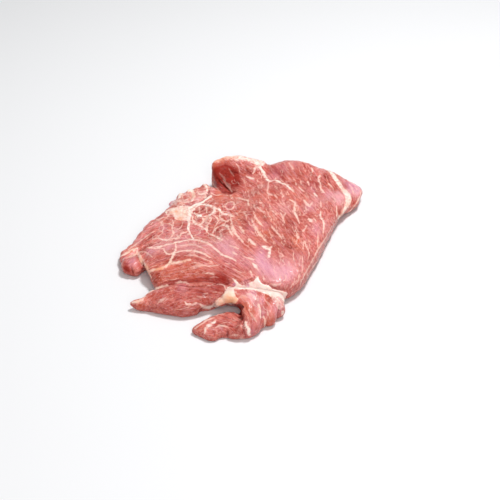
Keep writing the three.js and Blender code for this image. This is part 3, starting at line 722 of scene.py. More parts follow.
        (286, 272, 7, 0.5), (246, 262, 6, 0.35), (275, 175, 6, 0.4), (283, 168, 6, 0.35),
        (265, 226, 4, 0.4), (251, 228, 5, 0.4),
        # The right and the tip, with painted sheen on the tip.
        (313, 189, 5, 0.35), (328, 193, 5, 0.4), (354, 188, 6, 1), (348, 184, 4, 0.7),
        (309, 208, 4, 0.5), (316, 230, 5, 0.4),
    ],
    "smooth": [
        # The rim and the back edge.
        (217, 172, 7, 0.6), (216, 164, 7, 0.6),
        # The left edge and end.
        (130, 262, 8, 0.7), (142, 258, 7, 0.5),
        # The sweep.
        (225, 255, 8, 0.4),
        # The seam and the nodule.
        (228, 298, 8, 0.8),
        # The flap and the tongue.
        (243, 296, 7, 1), (254, 300, 7, 1), (266, 302, 7, 1), (276, 306, 7, 1), (268, 315, 7, 1),
        (256, 314, 6, 0.8), (250, 325, 6, 0.8), (262, 325, 7, 0.9), (272, 322, 6, 1),
        (228, 312, 7, 0.4),
        # The middle.
        (263, 256, 7, 0.5), (266, 268, 8, 0.5), (282, 270, 8, 0.4),
        # The right and the tip.
        (350, 188, 8, 0.7),
    ],
}

# Relief in millimetres: lobes and the width of their edge, fat and strands standing proud, how
# far a strand's foot spreads, fibres (their length, width and height), how far fat hides them,
# and the plain unevenness of the skin (its reach and height).
PILLOW = 0.7
PILLOW_EDGE = 1.5
FAT_RAISE = 0.5
FAT_STEP = (0.15, 0.7)
STRAND_RAISE = 0.25
STRAND_FOOT = 0.4
FIBRE_RELIEF = [(11, 2.6, 0.5), (6, 1.6, 0.3)]
FIBRES_HIDDEN = 0.6
SKIN_RELIEF = [(5.0, 0.5), (2.6, 0.25)]
# The heights between which relief sets in above the board.
RELIEF_FOOT = (0.3, 2.5)
# How far the skin lies below its surroundings in a full cavity, and the rounds of evening out
# that give the surroundings.
CAVITY = 0.28
CAVITY_ROUNDS = 6
# The depths of a fine fold between which painted shade darkens it, and the share of a large
# fold's that counts.
CREASE_DEPTHS = (0.4, 1.4)
CREASE_SHARE = 0.5

# Colours as they look on a screen.
LEAN_RED = (190, 68, 57)
LEAN_ROSE = (212, 103, 92)
LEAN_BROWN = (198, 86, 60)
# The pale and dark lean also serve as painted light on the ridges and painted shade in the
# furrows.
LEAN_PALE = (233, 147, 132)
LEAN_DARK = (152, 52, 42)
WARM = (222, 106, 66)
# The veil and the mauve are membrane colours that also paint sheen and highlights.
VEIL = (240, 174, 180)
MAUVE = (224, 156, 184)
FLECK = (244, 192, 178)
FAT_ROSE = (232, 156, 144)
FAT_TAN = (240, 174, 134)
FAT_THIN = (254, 216, 198)
FAT_CREAM = (255, 243, 229)
FAT_PINK = (252, 222, 210)
# What dark red lean, and the painted shade on upright sides, in creases and in hollows, let
# through of red, green and blue light.
DEEP_FILTER = (0.48, 0.13, 0.1, 1)

# Textures along the grain: size along, across and below it in millimetres, detail, roughness.
GRAIN_TEXTURES = {
    "fibres": ((9, 1.1, 1.1), 3, 0.55),
    "bundles": ((18, 3.6, 3.6), 2, 0.55),
    "speckle": ((2.2, 0.7, 0.7), 2, 0.55),
    "mottle": ((6, 1.8, 1.8), 3, 0.6),
    "hairs": ((34, 0.8, 0.8), 1, 0.55),
}
# Round textures: size in millimetres and detail.
ROUND_TEXTURES = {"blotches": (16, 2), "fine": (1.1, 3), "ragged": (1.7, 2), "patches": (3.2, 2)}
# The bundles of fibres cut through at the skin: their size along, across and below the grain,
# how far they are bent, and over what length.
BUNDLE_SIZE = (3.6, 1.35, 1.35)
BUNDLE_BEND = 0.7
BUNDLE_BEND_LENGTH = 2.5

# Textures that make the lean paler and darker: where it is palest, where it is darkest, and how
# strong that is. From the middle of the texture, it grows towards both.
TONES = {"fibres": (0.7, 0.32, 0.6), "mottle": (0.7, 0.32, 0.34), "cell_tone": (1, 0, 0.34)}
TEXTURE_MIDDLE = 0.5
# Ramps on a texture or tint: where an effect sets in and where it is complete, and how strong it
# is at each end.
RAMPS = {
    "rose bundles": (0.35, 0.66, 0, 1),
    "brown blotches": (0.42, 0.68, 0, 0.6),
    "veil on bundles": (0.25, 0.7, 0.45, 0.85),
    "pale hairs": (0.57, 0.65, 0, 0.5),
    # Painted shade in the furrows and painted light on the ridges.
    "dark furrows": (0.05, 0.9, 0, 0.55),
    "pale ridges": (-0.1, -0.9, 0, 0.35),
    "flecks": (0.62, 0.74, 0, 1),
    "flecks on bundles": (0.4, 0.65, 0.2, 0.8),
    "threads": (0.12, 0.02, 0, 1),
    "patches of threads": (0.42, 0.62, 0, 1),
    # Painted shade on the upright sides.
    "dark upright sides": (0.7, 0, 0, 0.4),
    "strand breadth": (0.3, 0.7, 0.6, 1.3),
    "strand edge": (1.9, 0.5, 0, 1),
    "strand patches": (0.25, 0.6, 0.65, 1),
    "strand halo": (4, 1, 0, 0.2),
    "broad fat edge": (0.32, 0.58, 0, 1),
    "rosy patches": (0.5, 0.32, 0, 0.7),
    "rosy in thin fat": (1, 0.6, 0.3, 1),
    "pink fat": (0.35, 0.65, 0, 1),
    "mauve fat": (0.45, 0.9, 0, 1),
    "rich strands": (0.45, 1.3, 0, 1),
    "bundle edges": (0, 0.4, 0, 1),
    "uneven shine": (0.3, 0.7, 0.24, 0.4),
    "wet film": (0, 0.8, 0.2, 0.03),
}
# How far smooth skin hides the grain, and how strong tints, flecks and the painted shade in
# creases are at most.
SMOOTH_HIDES = 0.75
WARM_MOST = 0.8
MAUVE_MOST = 0.65
FLECKS_MOST = 0.45
CREASE_MOST = 0.85
# What the small relief and the roughness are the sum of, each with its share.
RELIEF_SHARES = {"fibres": 0.55, "speckle": 0.25, "fine": 0.25, "mottle": 0.5,
                 "bundle_edges": 0.35, "all_fat": 0.35}
ROUGHNESS_SHARES = {"uneven_shine": 1, "all_fat": 0.08, "smooth": -0.08, "deep": 0.6}
# Strands: how far the blended gap may exceed the offset, how ragged their edges and those of
# the broad fat are, and the least half width.
STRAND_SLACK = 0.65
STRAND_WOBBLE = 0.36
FAT_WOBBLE = 0.5
THINNEST_STRAND = 0.05
# The wet film over the meat follows the small relief less closely than the skin does.
BUMP_STRENGTH = 0.8
FILM_STRENGTH = 0.25
BUMP_MM = 0.5

# Lights: place in the part's frame and size in metres, power in watts, colour.
LIGHTS = {
    "key": ((0.35, 0.3, 1.2), 0.3, 13.2, (0.97, 0.98, 1)),
    "fill": ((0.1, -1.2, 0.8), 1.0, 8, (0.99, 0.98, 1)),
}
WORLD_STRENGTH = 0.32
FLOOR_SIZE = 12
FLOOR_COLOUR = (0.85, 0.85, 0.85, 1)
FLOOR_ROUGHNESS = 0.6


def camera_axes():
    """Right, up and forward of the reference camera."""
    forward = np.array([0, math.cos(TILT), -math.sin(TILT)])
    level_up = np.array([0, math.sin(TILT), math.cos(TILT)])
    right = math.cos(ROLL) * np.array([1.0, 0, 0]) + math.sin(ROLL) * level_up
    return right, np.cross(right, forward), forward


def sight(px, py):
    """Direction from the camera through a pixel of the reference view."""
    right, up, forward = camera_axes()
    ray = forward + (px - IMAGE / 2) / FOCAL * right - (py - IMAGE / 2) / FOCAL * up
    return ray / np.linalg.norm(ray)


def on_plane(px, py, z):
    """Where the line of sight through a pixel meets the level plane at height z."""
    ray = sight(px, py)
    return EYE + ray * (z - EYE[2]) / ray[2]


def curve_span(p0, p1, p2, p3, shares):
    """Points of a centripetal Catmull-Rom curve between its second and third point."""
    k0, k1, k2 = (math.sqrt(math.dist(a, b)) for a, b in ((p0, p1), (p1, p2), (p2, p3)))
    m1 = ((p1 - p0) / k0 - (p2 - p0) / (k0 + k1) + (p2 - p1) / k1) * k1
    m2 = ((p2 - p1) / k1 - (p3 - p1) / (k1 + k2) + (p3 - p2) / k2) * k1
    return [(2 * t**3 - 3 * t**2 + 1) * p1 + (t**3 - 2 * t**2 + t) * m1
            + (3 * t**2 - 2 * t**3) * p2 + (t**3 - t**2) * m2 for t in shares]


def closed_curve(points):
    """A smooth closed outline through the points."""
    p = np.array(points, float)
    made = []
    for ends in zip(np.roll(p, 1, 0), p, np.roll(p, -1, 0), np.roll(p, -2, 0)):
        made += curve_span(*ends, np.arange(OUTLINE_STEPS) / OUTLINE_STEPS)
    return np.array(made)


def open_curve(route, step):
    """Places about a step apart along a smooth curve through a route."""
    p = np.array(route, float)
    p = np.vstack([2 * p[0] - p[1], p, 2 * p[-1] - p[-2]])
    made = []
    for ends in zip(p, p[1:], p[2:], p[3:]):
        made += curve_span(*ends, np.arange(0, 1, min(step / math.dist(ends[1], ends[2]), 1)))
    return np.array(made + [p[-2]])


def segment_distance(place, a, b):
    """Distance of places, given as an array for each axis, from the segment a to b."""
    away = [p - start for p, start in zip(place, a)]
    step = [end - start for start, end in zip(a, b)]
    along = np.clip(sum(g * d for g, d in zip(away, step)) / sum(d * d for d in step), 0, 1)
    return np.sqrt(sum((g - along * d)**2 for g, d in zip(away, step)))


def route_distance(place, route):
    """Distance of places from a route of straight segments."""
    nearest = np.inf
    for a, b in zip(route, route[1:]):
        nearest = np.minimum(nearest, segment_distance(place, a, b))
    return nearest


def depth_inside(x, y, outline):
    """Distance from each (x, y) to a closed outline, positive inside it."""
    nearest = route_distance((x, y), np.vstack([outline, outline[:1]]))
    inside = np.zeros(x.shape, bool)
    for a, b in zip(outline, np.roll(outline, -1, 0)):
        if a[1] != b[1]:
            crosses = (a[1] > y) != (b[1] > y)
            inside ^= crosses & (x < (b[0] - a[0]) * (y - a[1]) / (b[1] - a[1]) + a[0])
    return np.where(inside, nearest, -nearest)


def nearness(x, y, place, reach):
    """A weight that falls away from a place, but never to nothing."""
    away = np.hypot(x - place[0], y - place[1]) / reach
    return np.exp(-away**2) + FAR_WEIGHT / (1 + away**2)


def blended_height(x, y, readings):
    """The height of a top, blended from the readings near each place."""
    total = weights = 0
    for *place, height in readings:
        weight = nearness(x, y, place, READING_REACH)
        total = total + weight * height
        weights = weights + weight
    return total / weights


def underside(x, y, lifted):
    """The height of an underside that is lifted around some places."""
    z = np.full(x.shape, -REST_DEPTH)
    for lx, ly, height, reach in lifted:
        away = np.hypot(x - lx, y - ly) / reach
        z = np.maximum(z, -REST_DEPTH + (height + REST_DEPTH) * np.exp(-away**2))
    return z


def lattice(*cell):
    """A repeatable random number from 0 to 1 for each point of a lattice."""
    large = np.sin(sum(c * s for c, s in zip(cell, LATTICE_STEPS))) * LATTICE_SCALE
    return large - np.floor(large)


def smooth_noise(*axes):
    """Smooth noise from -0.5 to 0.5 with one swelling to each unit, in two or three axes."""
    base = [np.floor(a) for a in axes]
    share = [(a - b)**2 * (3 - 2 * (a - b)) for a, b in zip(axes, base)]
    total = 0
    for corner in range(2**len(axes)):
        bits = [(corner >> n) & 1 for n in range(len(axes))]
        weight = 1
        for s, bit in zip(share, bits):
            weight = weight * (s if bit else 1 - s)
        total = total + weight * lattice(*[b + bit for b, bit in zip(base, bits)])
    return total - 0.5


def unevenness(x, y):
    """Height of the swellings that run along the grain."""
    along = x * math.cos(GRAIN_BEARING) + y * math.sin(GRAIN_BEARING)
    across = y * math.cos(GRAIN_BEARING) - x * math.sin(GRAIN_BEARING)
    return sum(height * smooth_noise(along / length, across / width)
               for length, width, height in SWELLINGS)


def fold_depth(x, y):
    """Depth of the large folds."""
    deepest = 0
    for route, depth, half_width in FOLDS:
        away = route_distance((x, y), route)
        deepest = np.maximum(deepest, depth * np.exp(-(away / half_width)**2))
    return deepest


def smooth_max(a, b, blend):
    """The larger of two depths, with a soft change from one to the other."""
    near = np.maximum(blend - np.abs(a - b), 0) / blend
    return np.maximum(a, b) + near * near * blend / 4


def slab_depth(depth, middle, half, z, muscle):
    """Depth below the skin of a rounded slab, positive inside."""
    radius = np.minimum(muscle["edge"], half)
    sideways = radius - depth * muscle["edge"] / muscle["reach"]
    upright = radius - half + np.abs(z - middle)
    outside = np.hypot(np.maximum(sideways, 0), np.maximum(upright, 0))
    return radius - outside - np.minimum(np.maximum(sideways, upright), 0)


def window(xs, ys, low, high):
    """The part of the grid between two corners seen from above."""
    return (slice(*np.searchsorted(xs, (low[0], high[0]))),
            slice(*np.searchsorted(ys, (low[1], high[1]))))


def add_muscle(field, xs, ys, zs, muscle, curve):
    """Blends a muscle's rounded slab into the block."""
    i, j = window(xs, ys, curve.min(0) - MARGIN, curve.max(0) + MARGIN)
    x, y = np.meshgrid(xs[i], ys[j], indexing="ij")
    bottom = underside(x, y, muscle["lifted"])
    folds = fold_depth(x, y)
    top = blended_height(x, y, muscle["top"]) + unevenness(x, y) - folds
    half = np.maximum((top - bottom) / 2, THINNEST_HALF)
    depth = depth_inside(x, y, curve) - EDGE_BITE * folds
    depth += EDGE_RAGGED * smooth_noise(x / EDGE_LUMP, y / EDGE_LUMP)
    middle = (top + bottom) / 2
    own = slab_depth(depth[..., None], middle[..., None], half[..., None], zs, muscle)
    field[i, j] = smooth_max(field[i, j], own, BLEND)


def add_lump(field, xs, ys, zs, px, py, height, *sizes):
    """Blends a small round form into the block."""
    centre = on_plane(px, py, height)
    reach = 2 * np.array(sizes)
    i, j = window(xs, ys, centre - reach, centre + reach)
    axes = (xs[i, None, None], ys[j, None], zs)
    away = np.sqrt(sum(((p - c) / size)**2 for p, c, size in zip(axes, centre, sizes)))
    field[i, j] = smooth_max(field[i, j], (1 - away) * min(sizes), LUMP_BLEND)


def sample_block():
    """The meat's depth on a regular grid, and the grid's lowest corner."""
    curves = [closed_curve(muscle["outline"]) for muscle in MUSCLES.values()]
    every = np.vstack(curves)
    low = np.append(every.min(0) - MARGIN, BLOCK_BOTTOM)
    high = np.append(every.max(0) + MARGIN, BLOCK_TOP)
    xs, ys, zs = (np.arange(a, b + CELL, CELL) for a, b in zip(low, high))
    field = np.full((len(xs), len(ys), len(zs)), -MARGIN)
    for muscle, curve in zip(MUSCLES.values(), curves):
        add_muscle(field, xs, ys, zs, muscle, curve)
    for lump in LUMPS:
        add_lump(field, xs, ys, zs, *lump)
    place = (xs[:, None, None], ys[:, None], zs)
    hollow = HOLLOW_RADIUS - route_distance(place, HOLLOW_ROUTE)
    field = -smooth_max(-field, hollow, HOLLOW_BLEND)
    return np.minimum(field, zs), low


def separate_touching(field):
    """Gives the shallower meat corner of each grid face whose corners alternate to the air."""
    changed = True
    while changed:
        changed = False
        for a, b in ((0, 1), (1, 2), (2, 0)):
            faces = [field]
            for axis in (a, b):
                faces = [np.take(f, range(k, f.shape[axis] - 1 + k), axis) for f in faces
                         for k in (0, 1)]
            meat = [f > 0 for f in faces]
            alternate = (meat[0] == meat[3]) & (meat[1] == meat[2]) & (meat[0] != meat[1])
            sides = np.eye(3, dtype=int)[[a, b]]
            for place in np.argwhere(alternate):
                corners = [tuple(place + ka * sides[0] + kb * sides[1])
                           for ka in (0, 1) for kb in (0, 1)]
                inner = [c for c in corners if field[c] > 0]
                if len(inner) == 2:
                    field[min(inner, key=lambda c: field[c])] = -TOUCH_GAP
                    changed = True


def wrap_surface(field, low):
    """Points and quads of the zero surface, one point to each crossed cell."""
    inside = field > 0
    shape = np.array(field.shape) - 1
    corners = np.array([((n & 1), (n >> 1) & 1, n >> 2) for n in range(8)])
    count = np.zeros(shape, int)
    for i, j, k in corners:
        count += inside[i:shape[0] + i, j:shape[1] + j, k:shape[2] + k]
    cells = np.argwhere((count > 0) & (count < 8))
    values = [field[tuple((cells + c).T)] for c in corners]
    total = np.zeros((len(cells), 3))
    crossings = np.zeros(len(cells))
    for m in range(8):
        for n in (m | 1, m | 2, m | 4):
            if n == m:
                continue
            crossed = (values[m] > 0) != (values[n] > 0)
            share = np.where(crossed, values[m] / np.where(crossed, values[m] - values[n], 1), 0)
            place = corners[m] + share[:, None] * (corners[n] - corners[m])
            total += crossed[:, None] * place
            crossings += crossed
    points = low + (cells + total / crossings[:, None]) * CELL
    index = np.full(shape, -1)
    index[tuple(cells.T)] = np.arange(len(cells))
    quads = []
    for axis in range(3):
        u, v = (np.eye(3, dtype=int)[(axis + k) % 3] for k in (1, 2))
        beyond = np.roll(inside, -1, axis)
        here = np.argwhere((inside != beyond)[1:-1, 1:-1, 1:-1]) + 1
        quad = np.stack([index[tuple((here - d).T)] for d in (u + v, v, 0 * u, u)], 1)
        outward = inside[tuple(here.T)]
        quad[~outward] = quad[~outward][:, ::-1]
        quads.append(quad)
    return points, np.vstack(quads)


def gathered(owners, values, count):
    """The sum of the rows of values that belong to each owner."""
    return np.stack([np.bincount(owners, column, count) for column in values.T], 1)


def relax(points, quads, rounds):
    """Evens out the steps of the grid, and keeps the underside flat."""
    start, end = quads.ravel(), np.roll(quads, -1, 1).ravel()
    neighbours = np.bincount(start, minlength=len(points))[:, None]
    heights = points[:, 2].copy()
    flat = heights < REST_ZONE
    for _ in range(rounds):
        middle = gathered(start, points[end], len(points)) / neighbours
        points = points + RELAX_SHARE * (middle - points)
        points[flat, 2] = heights[flat]
    return points


def point_normals(points, quads):
    """The outward direction at each point."""
    a, b, c, d = (points[quads[:, k]] for k in range(4))
    faces = np.repeat(np.cross(c - a, d - b), 4, 0)
    total = gathered(quads.ravel(), faces, len(points))
    return total / np.linalg.norm(total, axis=1, keepdims=True)


def rise(values, low, high):
    """0 at low, 1 at high, with soft ends."""
    share = np.clip((values - low) / (high - low), 0, 1)
    return share * share * (3 - 2 * share)


def seen(px, py):
    """The place on the meat that the reference view shows at a pixel, or None."""
    place = tree.ray_cast(Vector(EYE), Vector(sight(px, py)))[0]
    return None if place is None else np.array(place)


def seen_route(route, step):
    """The places on the meat along a seen route, each with its share of the way."""
    curve = open_curve(route, step)
    for (px, py), share in zip(curve, np.linspace(0, 1, len(curve))):
        spot = seen(px, py)
        if spot is not None:
            yield spot, share


def around_spots(points, spots):
    """The summed strength of soft round spots at each point."""
    total = np.zeros(len(points))
    for px, py, radius, strength in spots:
        spot = seen(px, py)
        if spot is not None:
            away = (((points - spot) / PIXEL)**2).sum(1) / radius**2
            total = total + strength * np.exp(-away)
    return total


def point_finder(places):
    """A finder of the nearest of some places."""
    finder = KDTree(len(places))
    for n, place in enumerate(places):
        finder.insert(place, n)
    finder.balance()
    return finder


def arrow_on_meat(pixel, step):
    """Place and direction of an arrow, as seen from above."""
    start = on_plane(*pixel, ARROW_HEIGHT)[:2]
    end = on_plane(pixel[0] + step[0], pixel[1] + step[1], ARROW_HEIGHT)[:2]
    return start, (end - start) / np.linalg.norm(end - start)


def grain_heading(x, y):
    """The direction of the fibres seen from above, blended from the nearest arrows."""
    total = 0
    for place, heading in arrows:
        total = total + np.multiply.outer(heading, nearness(x, y, place, ARROW_REACH))
    return total / np.maximum(np.hypot(*total), TINY)


def grain_coordinates(points):
    """Distance along the fibres and across them, for each point."""
    low, high = points.min(0)[:2] - GRAIN_CELL, points.max(0)[:2] + GRAIN_CELL
    nx, ny = (np.ceil((high - low) / GRAIN_CELL).astype(int) + 1)
    number = np.arange(nx * ny).reshape(nx, ny)
    pairs = np.vstack([
        np.stack([number[:-1].ravel(), number[1:].ravel()], 1),
        np.stack([number[:, :-1].ravel(), number[:, 1:].ravel()], 1),
    ])
    nodes = low + np.stack(np.unravel_index(np.arange(nx * ny), (nx, ny)), 1) * GRAIN_CELL
    starts, ends = nodes[pairs[:, 0]], nodes[pairs[:, 1]]
    along = grain_heading(*((starts + ends) / 2).T).T
    across = np.stack([-along[:, 1], along[:, 0]], 1)
    system = np.eye(nx * ny) * GRAIN_ANCHOR
    for row, column, value in ((0, 0, 1), (1, 1, 1), (0, 1, -1), (1, 0, -1)):
        np.add.at(system, (pairs[:, row], pairs[:, column]), value)
    spot = (points[:, :2] - low) / GRAIN_CELL
    i, j = spot.astype(int).T
    s, t = (spot - np.stack([i, j], 1)).T
    made = []
    for heading in (along, across):
        rises = (heading * (ends - starts)).sum(1)
        pull = np.bincount(pairs[:, 1], rises, nx * ny) - np.bincount(pairs[:, 0], rises, nx * ny)
        grid = np.linalg.solve(system, pull).reshape(nx, ny)
        made.append((1 - s) * (1 - t) * grid[i, j] + s * (1 - t) * grid[i + 1, j]
                    + (1 - s) * t * grid[i, j + 1] + s * t * grid[i + 1, j + 1])
    return np.stack(made, 1)


def taper(share):
    """How the width of a strand changes along it."""
    return TAPER_END + (1 - TAPER_END) * np.sqrt(np.sin(math.pi * np.clip(share, 0, 1)))


def drawn_strand(route, width):
    """Places and half widths along a strand of fat that the reference view shows."""
    pixels = open_curve(route, STRAND_STEP)
    places = [seen(px, py) for px, py in pixels]
    kept = [n for n, place in enumerate(places) if place is not None]
    share = np.array(kept) / (len(pixels) - 1)
    heading = np.gradient(pixels, axis=0)[kept]
    heading /= np.maximum(np.linalg.norm(heading, axis=1, keepdims=True), TINY)
    broader = np.hypot(heading[:, 1] * PIXEL[0], heading[:, 0] * PIXEL[1])
    return np.array([places[n] for n in kept]), width / 2 * broader * taper(share)


def grown_strand(start, length, half_width, turn):
    """Places and half widths along a thin strand that follows the grain over the surface."""
    place = Vector(start)
    places = [place]
    for n in range(int(length / STRAND_STEP)):
        heading = grain_heading(place.x, place.y)
        wave = turn * math.sin(n * STRAND_WAVE + turn * WAVE_PHASE)
        bearing = math.atan2(heading[1], heading[0]) + wave
        ahead = place + STRAND_STEP * Vector((math.cos(bearing), math.sin(bearing), 0))
        place = tree.find_nearest(ahead)[0]
        places.append(place)
    return np.array(places), half_width * taper(np.linspace(0, 1, len(places)))


def grow_strands(points, normals, chance, drawn):
    """Many thin strands along the grain, from seeded places clear of the drawn ones."""
    finder = point_finder(np.vstack([places for places, _, _ in drawn]))
    open_skin = (points[:, 2] > OPEN_HEIGHT) & (normals[:, 2] > OPEN_FACING)
    weight = open_skin * (STRAND_BASE + around_spots(points, STRAND_CROWDS))
    starts = chance.choice(len(points), STRAND_COUNT, p=weight / weight.sum())
    made = []
    for start in starts:
        length = chance.uniform(*STRAND_LENGTHS)
        half_width = chance.uniform(*STRAND_HALF_WIDTHS)
        turn = chance.uniform(-STRAND_TURN, STRAND_TURN)
        strength = chance.uniform(*STRAND_STRENGTHS)
        side = chance.choice([-1, 1]) if chance.random() < BRANCH_SHARE else 0
        places, halves = grown_strand(points[start], length, half_width, turn)
        made.append((places, halves, strength))
        if side and len(places) > BRANCH_SAMPLES:
            fork = places[len(places) // 2]
            branch = grown_strand(fork, length * BRANCH_LENGTH, half_width * BRANCH_WEIGHT,
                                  BRANCH_TURN * side)
            made.append((*branch, strength * BRANCH_WEIGHT))
    return [strand for strand in made
            if min(finder.find(place)[2] for place in strand[0]) > STRAND_CLEARANCE]


def nearest_strands(points, strands):
    """For each point the offset to the nearest strand, the gap, half width and strength."""
    starts = np.vstack([places[:-1] for places, _, _ in strands])
    ends = np.vstack([places[1:] for places, _, _ in strands])
    halves = np.concatenate([half[:-1] for _, half, _ in strands])
    strengths = np.concatenate([np.full(len(half) - 1, s) for _, half, s in strands])
    finder = point_finder((starts + ends) / 2)
    found = np.array([finder.find(p)[1] for p in points])
    a, d = starts[found], (ends - starts)[found]
    length = np.maximum((d * d).sum(1), TINY)
    along = np.clip(((points - a) * d).sum(1) / length, 0, 1)
    offset = a + along[:, None] * d - points
    return offset, np.linalg.norm(offset, axis=1), halves[found], strengths[found]


def net_walls(points, chance):
    """Walls of fat between the lobes of the net: offset, gap, half width and mask per point."""
    middle = seen(*NET_MIDDLE)
    mask = 1 - rise(np.hypot(*((points - middle)[:, :2] / NET_REACH).T), *NET_FADE)
    steps = [int(reach * NET_SPREAD / NET_CELL) for reach in NET_REACH]
    seeds = np.array([(middle[0] + (i + chance.uniform(-NET_STRAY, NET_STRAY)) * NET_CELL,
                       middle[1] + (j + (i % 2) / 2 + chance.uniform(-NET_STRAY, NET_STRAY))
                       * NET_CELL)
                      for i in range(-steps[0], steps[0] + 1)
                      for j in range(-steps[1], steps[1] + 1)])
    widths = chance.uniform(*NET_HALF_WIDTHS, (len(seeds), len(seeds)))
    widths = np.minimum(widths, widths.T) * (np.maximum(widths, widths.T) > NET_MISSING)
    inside = np.flatnonzero(mask > 0)
    flat = points[inside, :2]
    warp = np.stack([smooth_noise(*(flat / NET_WARP_REACH + shift).T)
                     for shift in NET_WARP_SHIFTS], 1)
    apart = np.linalg.norm((flat + NET_WARP * warp)[:, None] - seeds, axis=2)
    order = np.argsort(apart, 1)[:, :2]
    first, second = seeds[order[:, 0]], seeds[order[:, 1]]
    near, far = np.take_along_axis(apart, order, 1).T
    span = np.linalg.norm(second - first, axis=1)
    gap = (far**2 - near**2) / (2 * span)
    offset = np.zeros((len(points), 3))
    offset[inside, :2] = (second - first) / span[:, None] * gap[:, None]
    gaps = np.full(len(points), FAR_GAP)
    gaps[inside] = gap
    halves = np.zeros(len(points))
    halves[inside] = widths[order[:, 0], order[:, 1]]
    return offset, gaps, halves * mask, mask


def in_view(points, normals):
    """The pixel of the reference view for each point, and whether the view shows the point."""
    right, up, forward = camera_axes()
    away = points - EYE
    depth = away @ forward
    pixels = np.stack([IMAGE / 2 + away @ right / depth * FOCAL,
                       IMAGE / 2 - away @ up / depth * FOCAL], 1)
    facing = (away * normals).sum(1) < 0
    shown = [bool(near) and tree.ray_cast(Vector(p + OFF_SKIN * n), Vector(-a))[0] is None
             for p, n, a, near in zip(points, normals, away, facing)]
    return pixels, np.array(shown)


def broad_fat(points, normals):
    """0 to 1 over the broad patches and bands of fat: nearly a half on their outline."""
    made = np.zeros(len(points))
    finder = point_finder(points / PIXEL)
    for route, width, strength in BROAD_FAT:
        for spot, _ in seen_route(route, BROAD_STEP):
            for _, n, away in finder.find_range(spot / PIXEL, width):
                made[n] = max(made[n], strength * (1 - away / width))
    pixels, shown = in_view(points, normals)
    for outline, softness, most in FAT_AREAS:
        depth = depth_inside(*pixels.T, closed_curve(outline))
        made = np.maximum(made, shown * np.clip(FAT_EDGE + depth / softness / 2, 0, most))
    return made


def carved(points):
    """Depth of the finer folds at each point."""
    deepest = np.zeros(len(points))
    finder = point_finder(points)
    for route, depth, half_width in FINE_FOLDS:
        for spot, share in seen_route(route, FOLD_STEP):
            share = FOLD_START + (1 - 2 * FOLD_START) * share
            full = depth * math.sin(math.pi * share)**0.5
            for _, n, away in finder.find_range(spot, FOLD_REACH * half_width):
                deepest[n] = max(deepest[n], full * math.exp(-(away / half_width)**2))
    return deepest


def relief(points, grain, fat, cords, lobes):
    """Height of the fine forms above the plain skin, for each point."""
    z = points[:, 2]
    height = PILLOW * lobes + FAT_RAISE * rise(fat, *FAT_STEP) + STRAND_RAISE * cords
    for along, across, size in FIBRE_RELIEF:
        fibres = smooth_noise(grain[:, 0] / along, grain[:, 1] / across, z / across)
        height += size * fibres * (1 - FIBRES_HIDDEN * fat)
    for reach, size in SKIN_RELIEF:
        height += size * smooth_noise(*(points / reach).T)
    return height


def cavities(skin, quads):
    """-1 on the ridges of the skin to 1 in its furrows."""
    below = ((relax(skin, quads, CAVITY_ROUNDS) - skin) * point_normals(skin, quads)).sum(1)
    return np.clip(below / CAVITY, -1, 1) * rise(skin[:, 2], *RELIEF_FOOT)


def add_object(name, data):
    """A new object in the scene."""
    made = bpy.data.objects.new(name, data)
    bpy.context.scene.collection.objects.link(made)
    return made


def new_mesh(name, points_mm, faces):
    """A smoothly shaded mesh of points given in the drawing's frame."""
    mesh = bpy.data.meshes.new(name)
    verts = (points_mm - MIDDLE) * MM
    mesh.from_pydata(verts.tolist(), [], faces.tolist())
    mesh.polygons.foreach_set("use_smooth", np.ones(len(mesh.polygons), bool))
    mesh.update()
    return add_object(name, mesh)


def add_attribute(mesh, name, *columns):
    """Three numbers for each point, for the material to read."""
    values = np.ascontiguousarray(np.column_stack(columns), np.float32)
    layer = mesh.attributes.new(name, "FLOAT_VECTOR", "POINT")
    layer.data.foreach_set("vector", values.ravel())


def linear(red, green, blue):
    """A colour given as it looks on a screen, from 0 to 255, as the shader takes it."""
    parts = [c / 255 for c in (red, green, blue)]
    return tuple(c / 12.92 if c <= 0.04045 else ((c + 0.055) / 1.055)**2.4 for c in parts) + (1,)


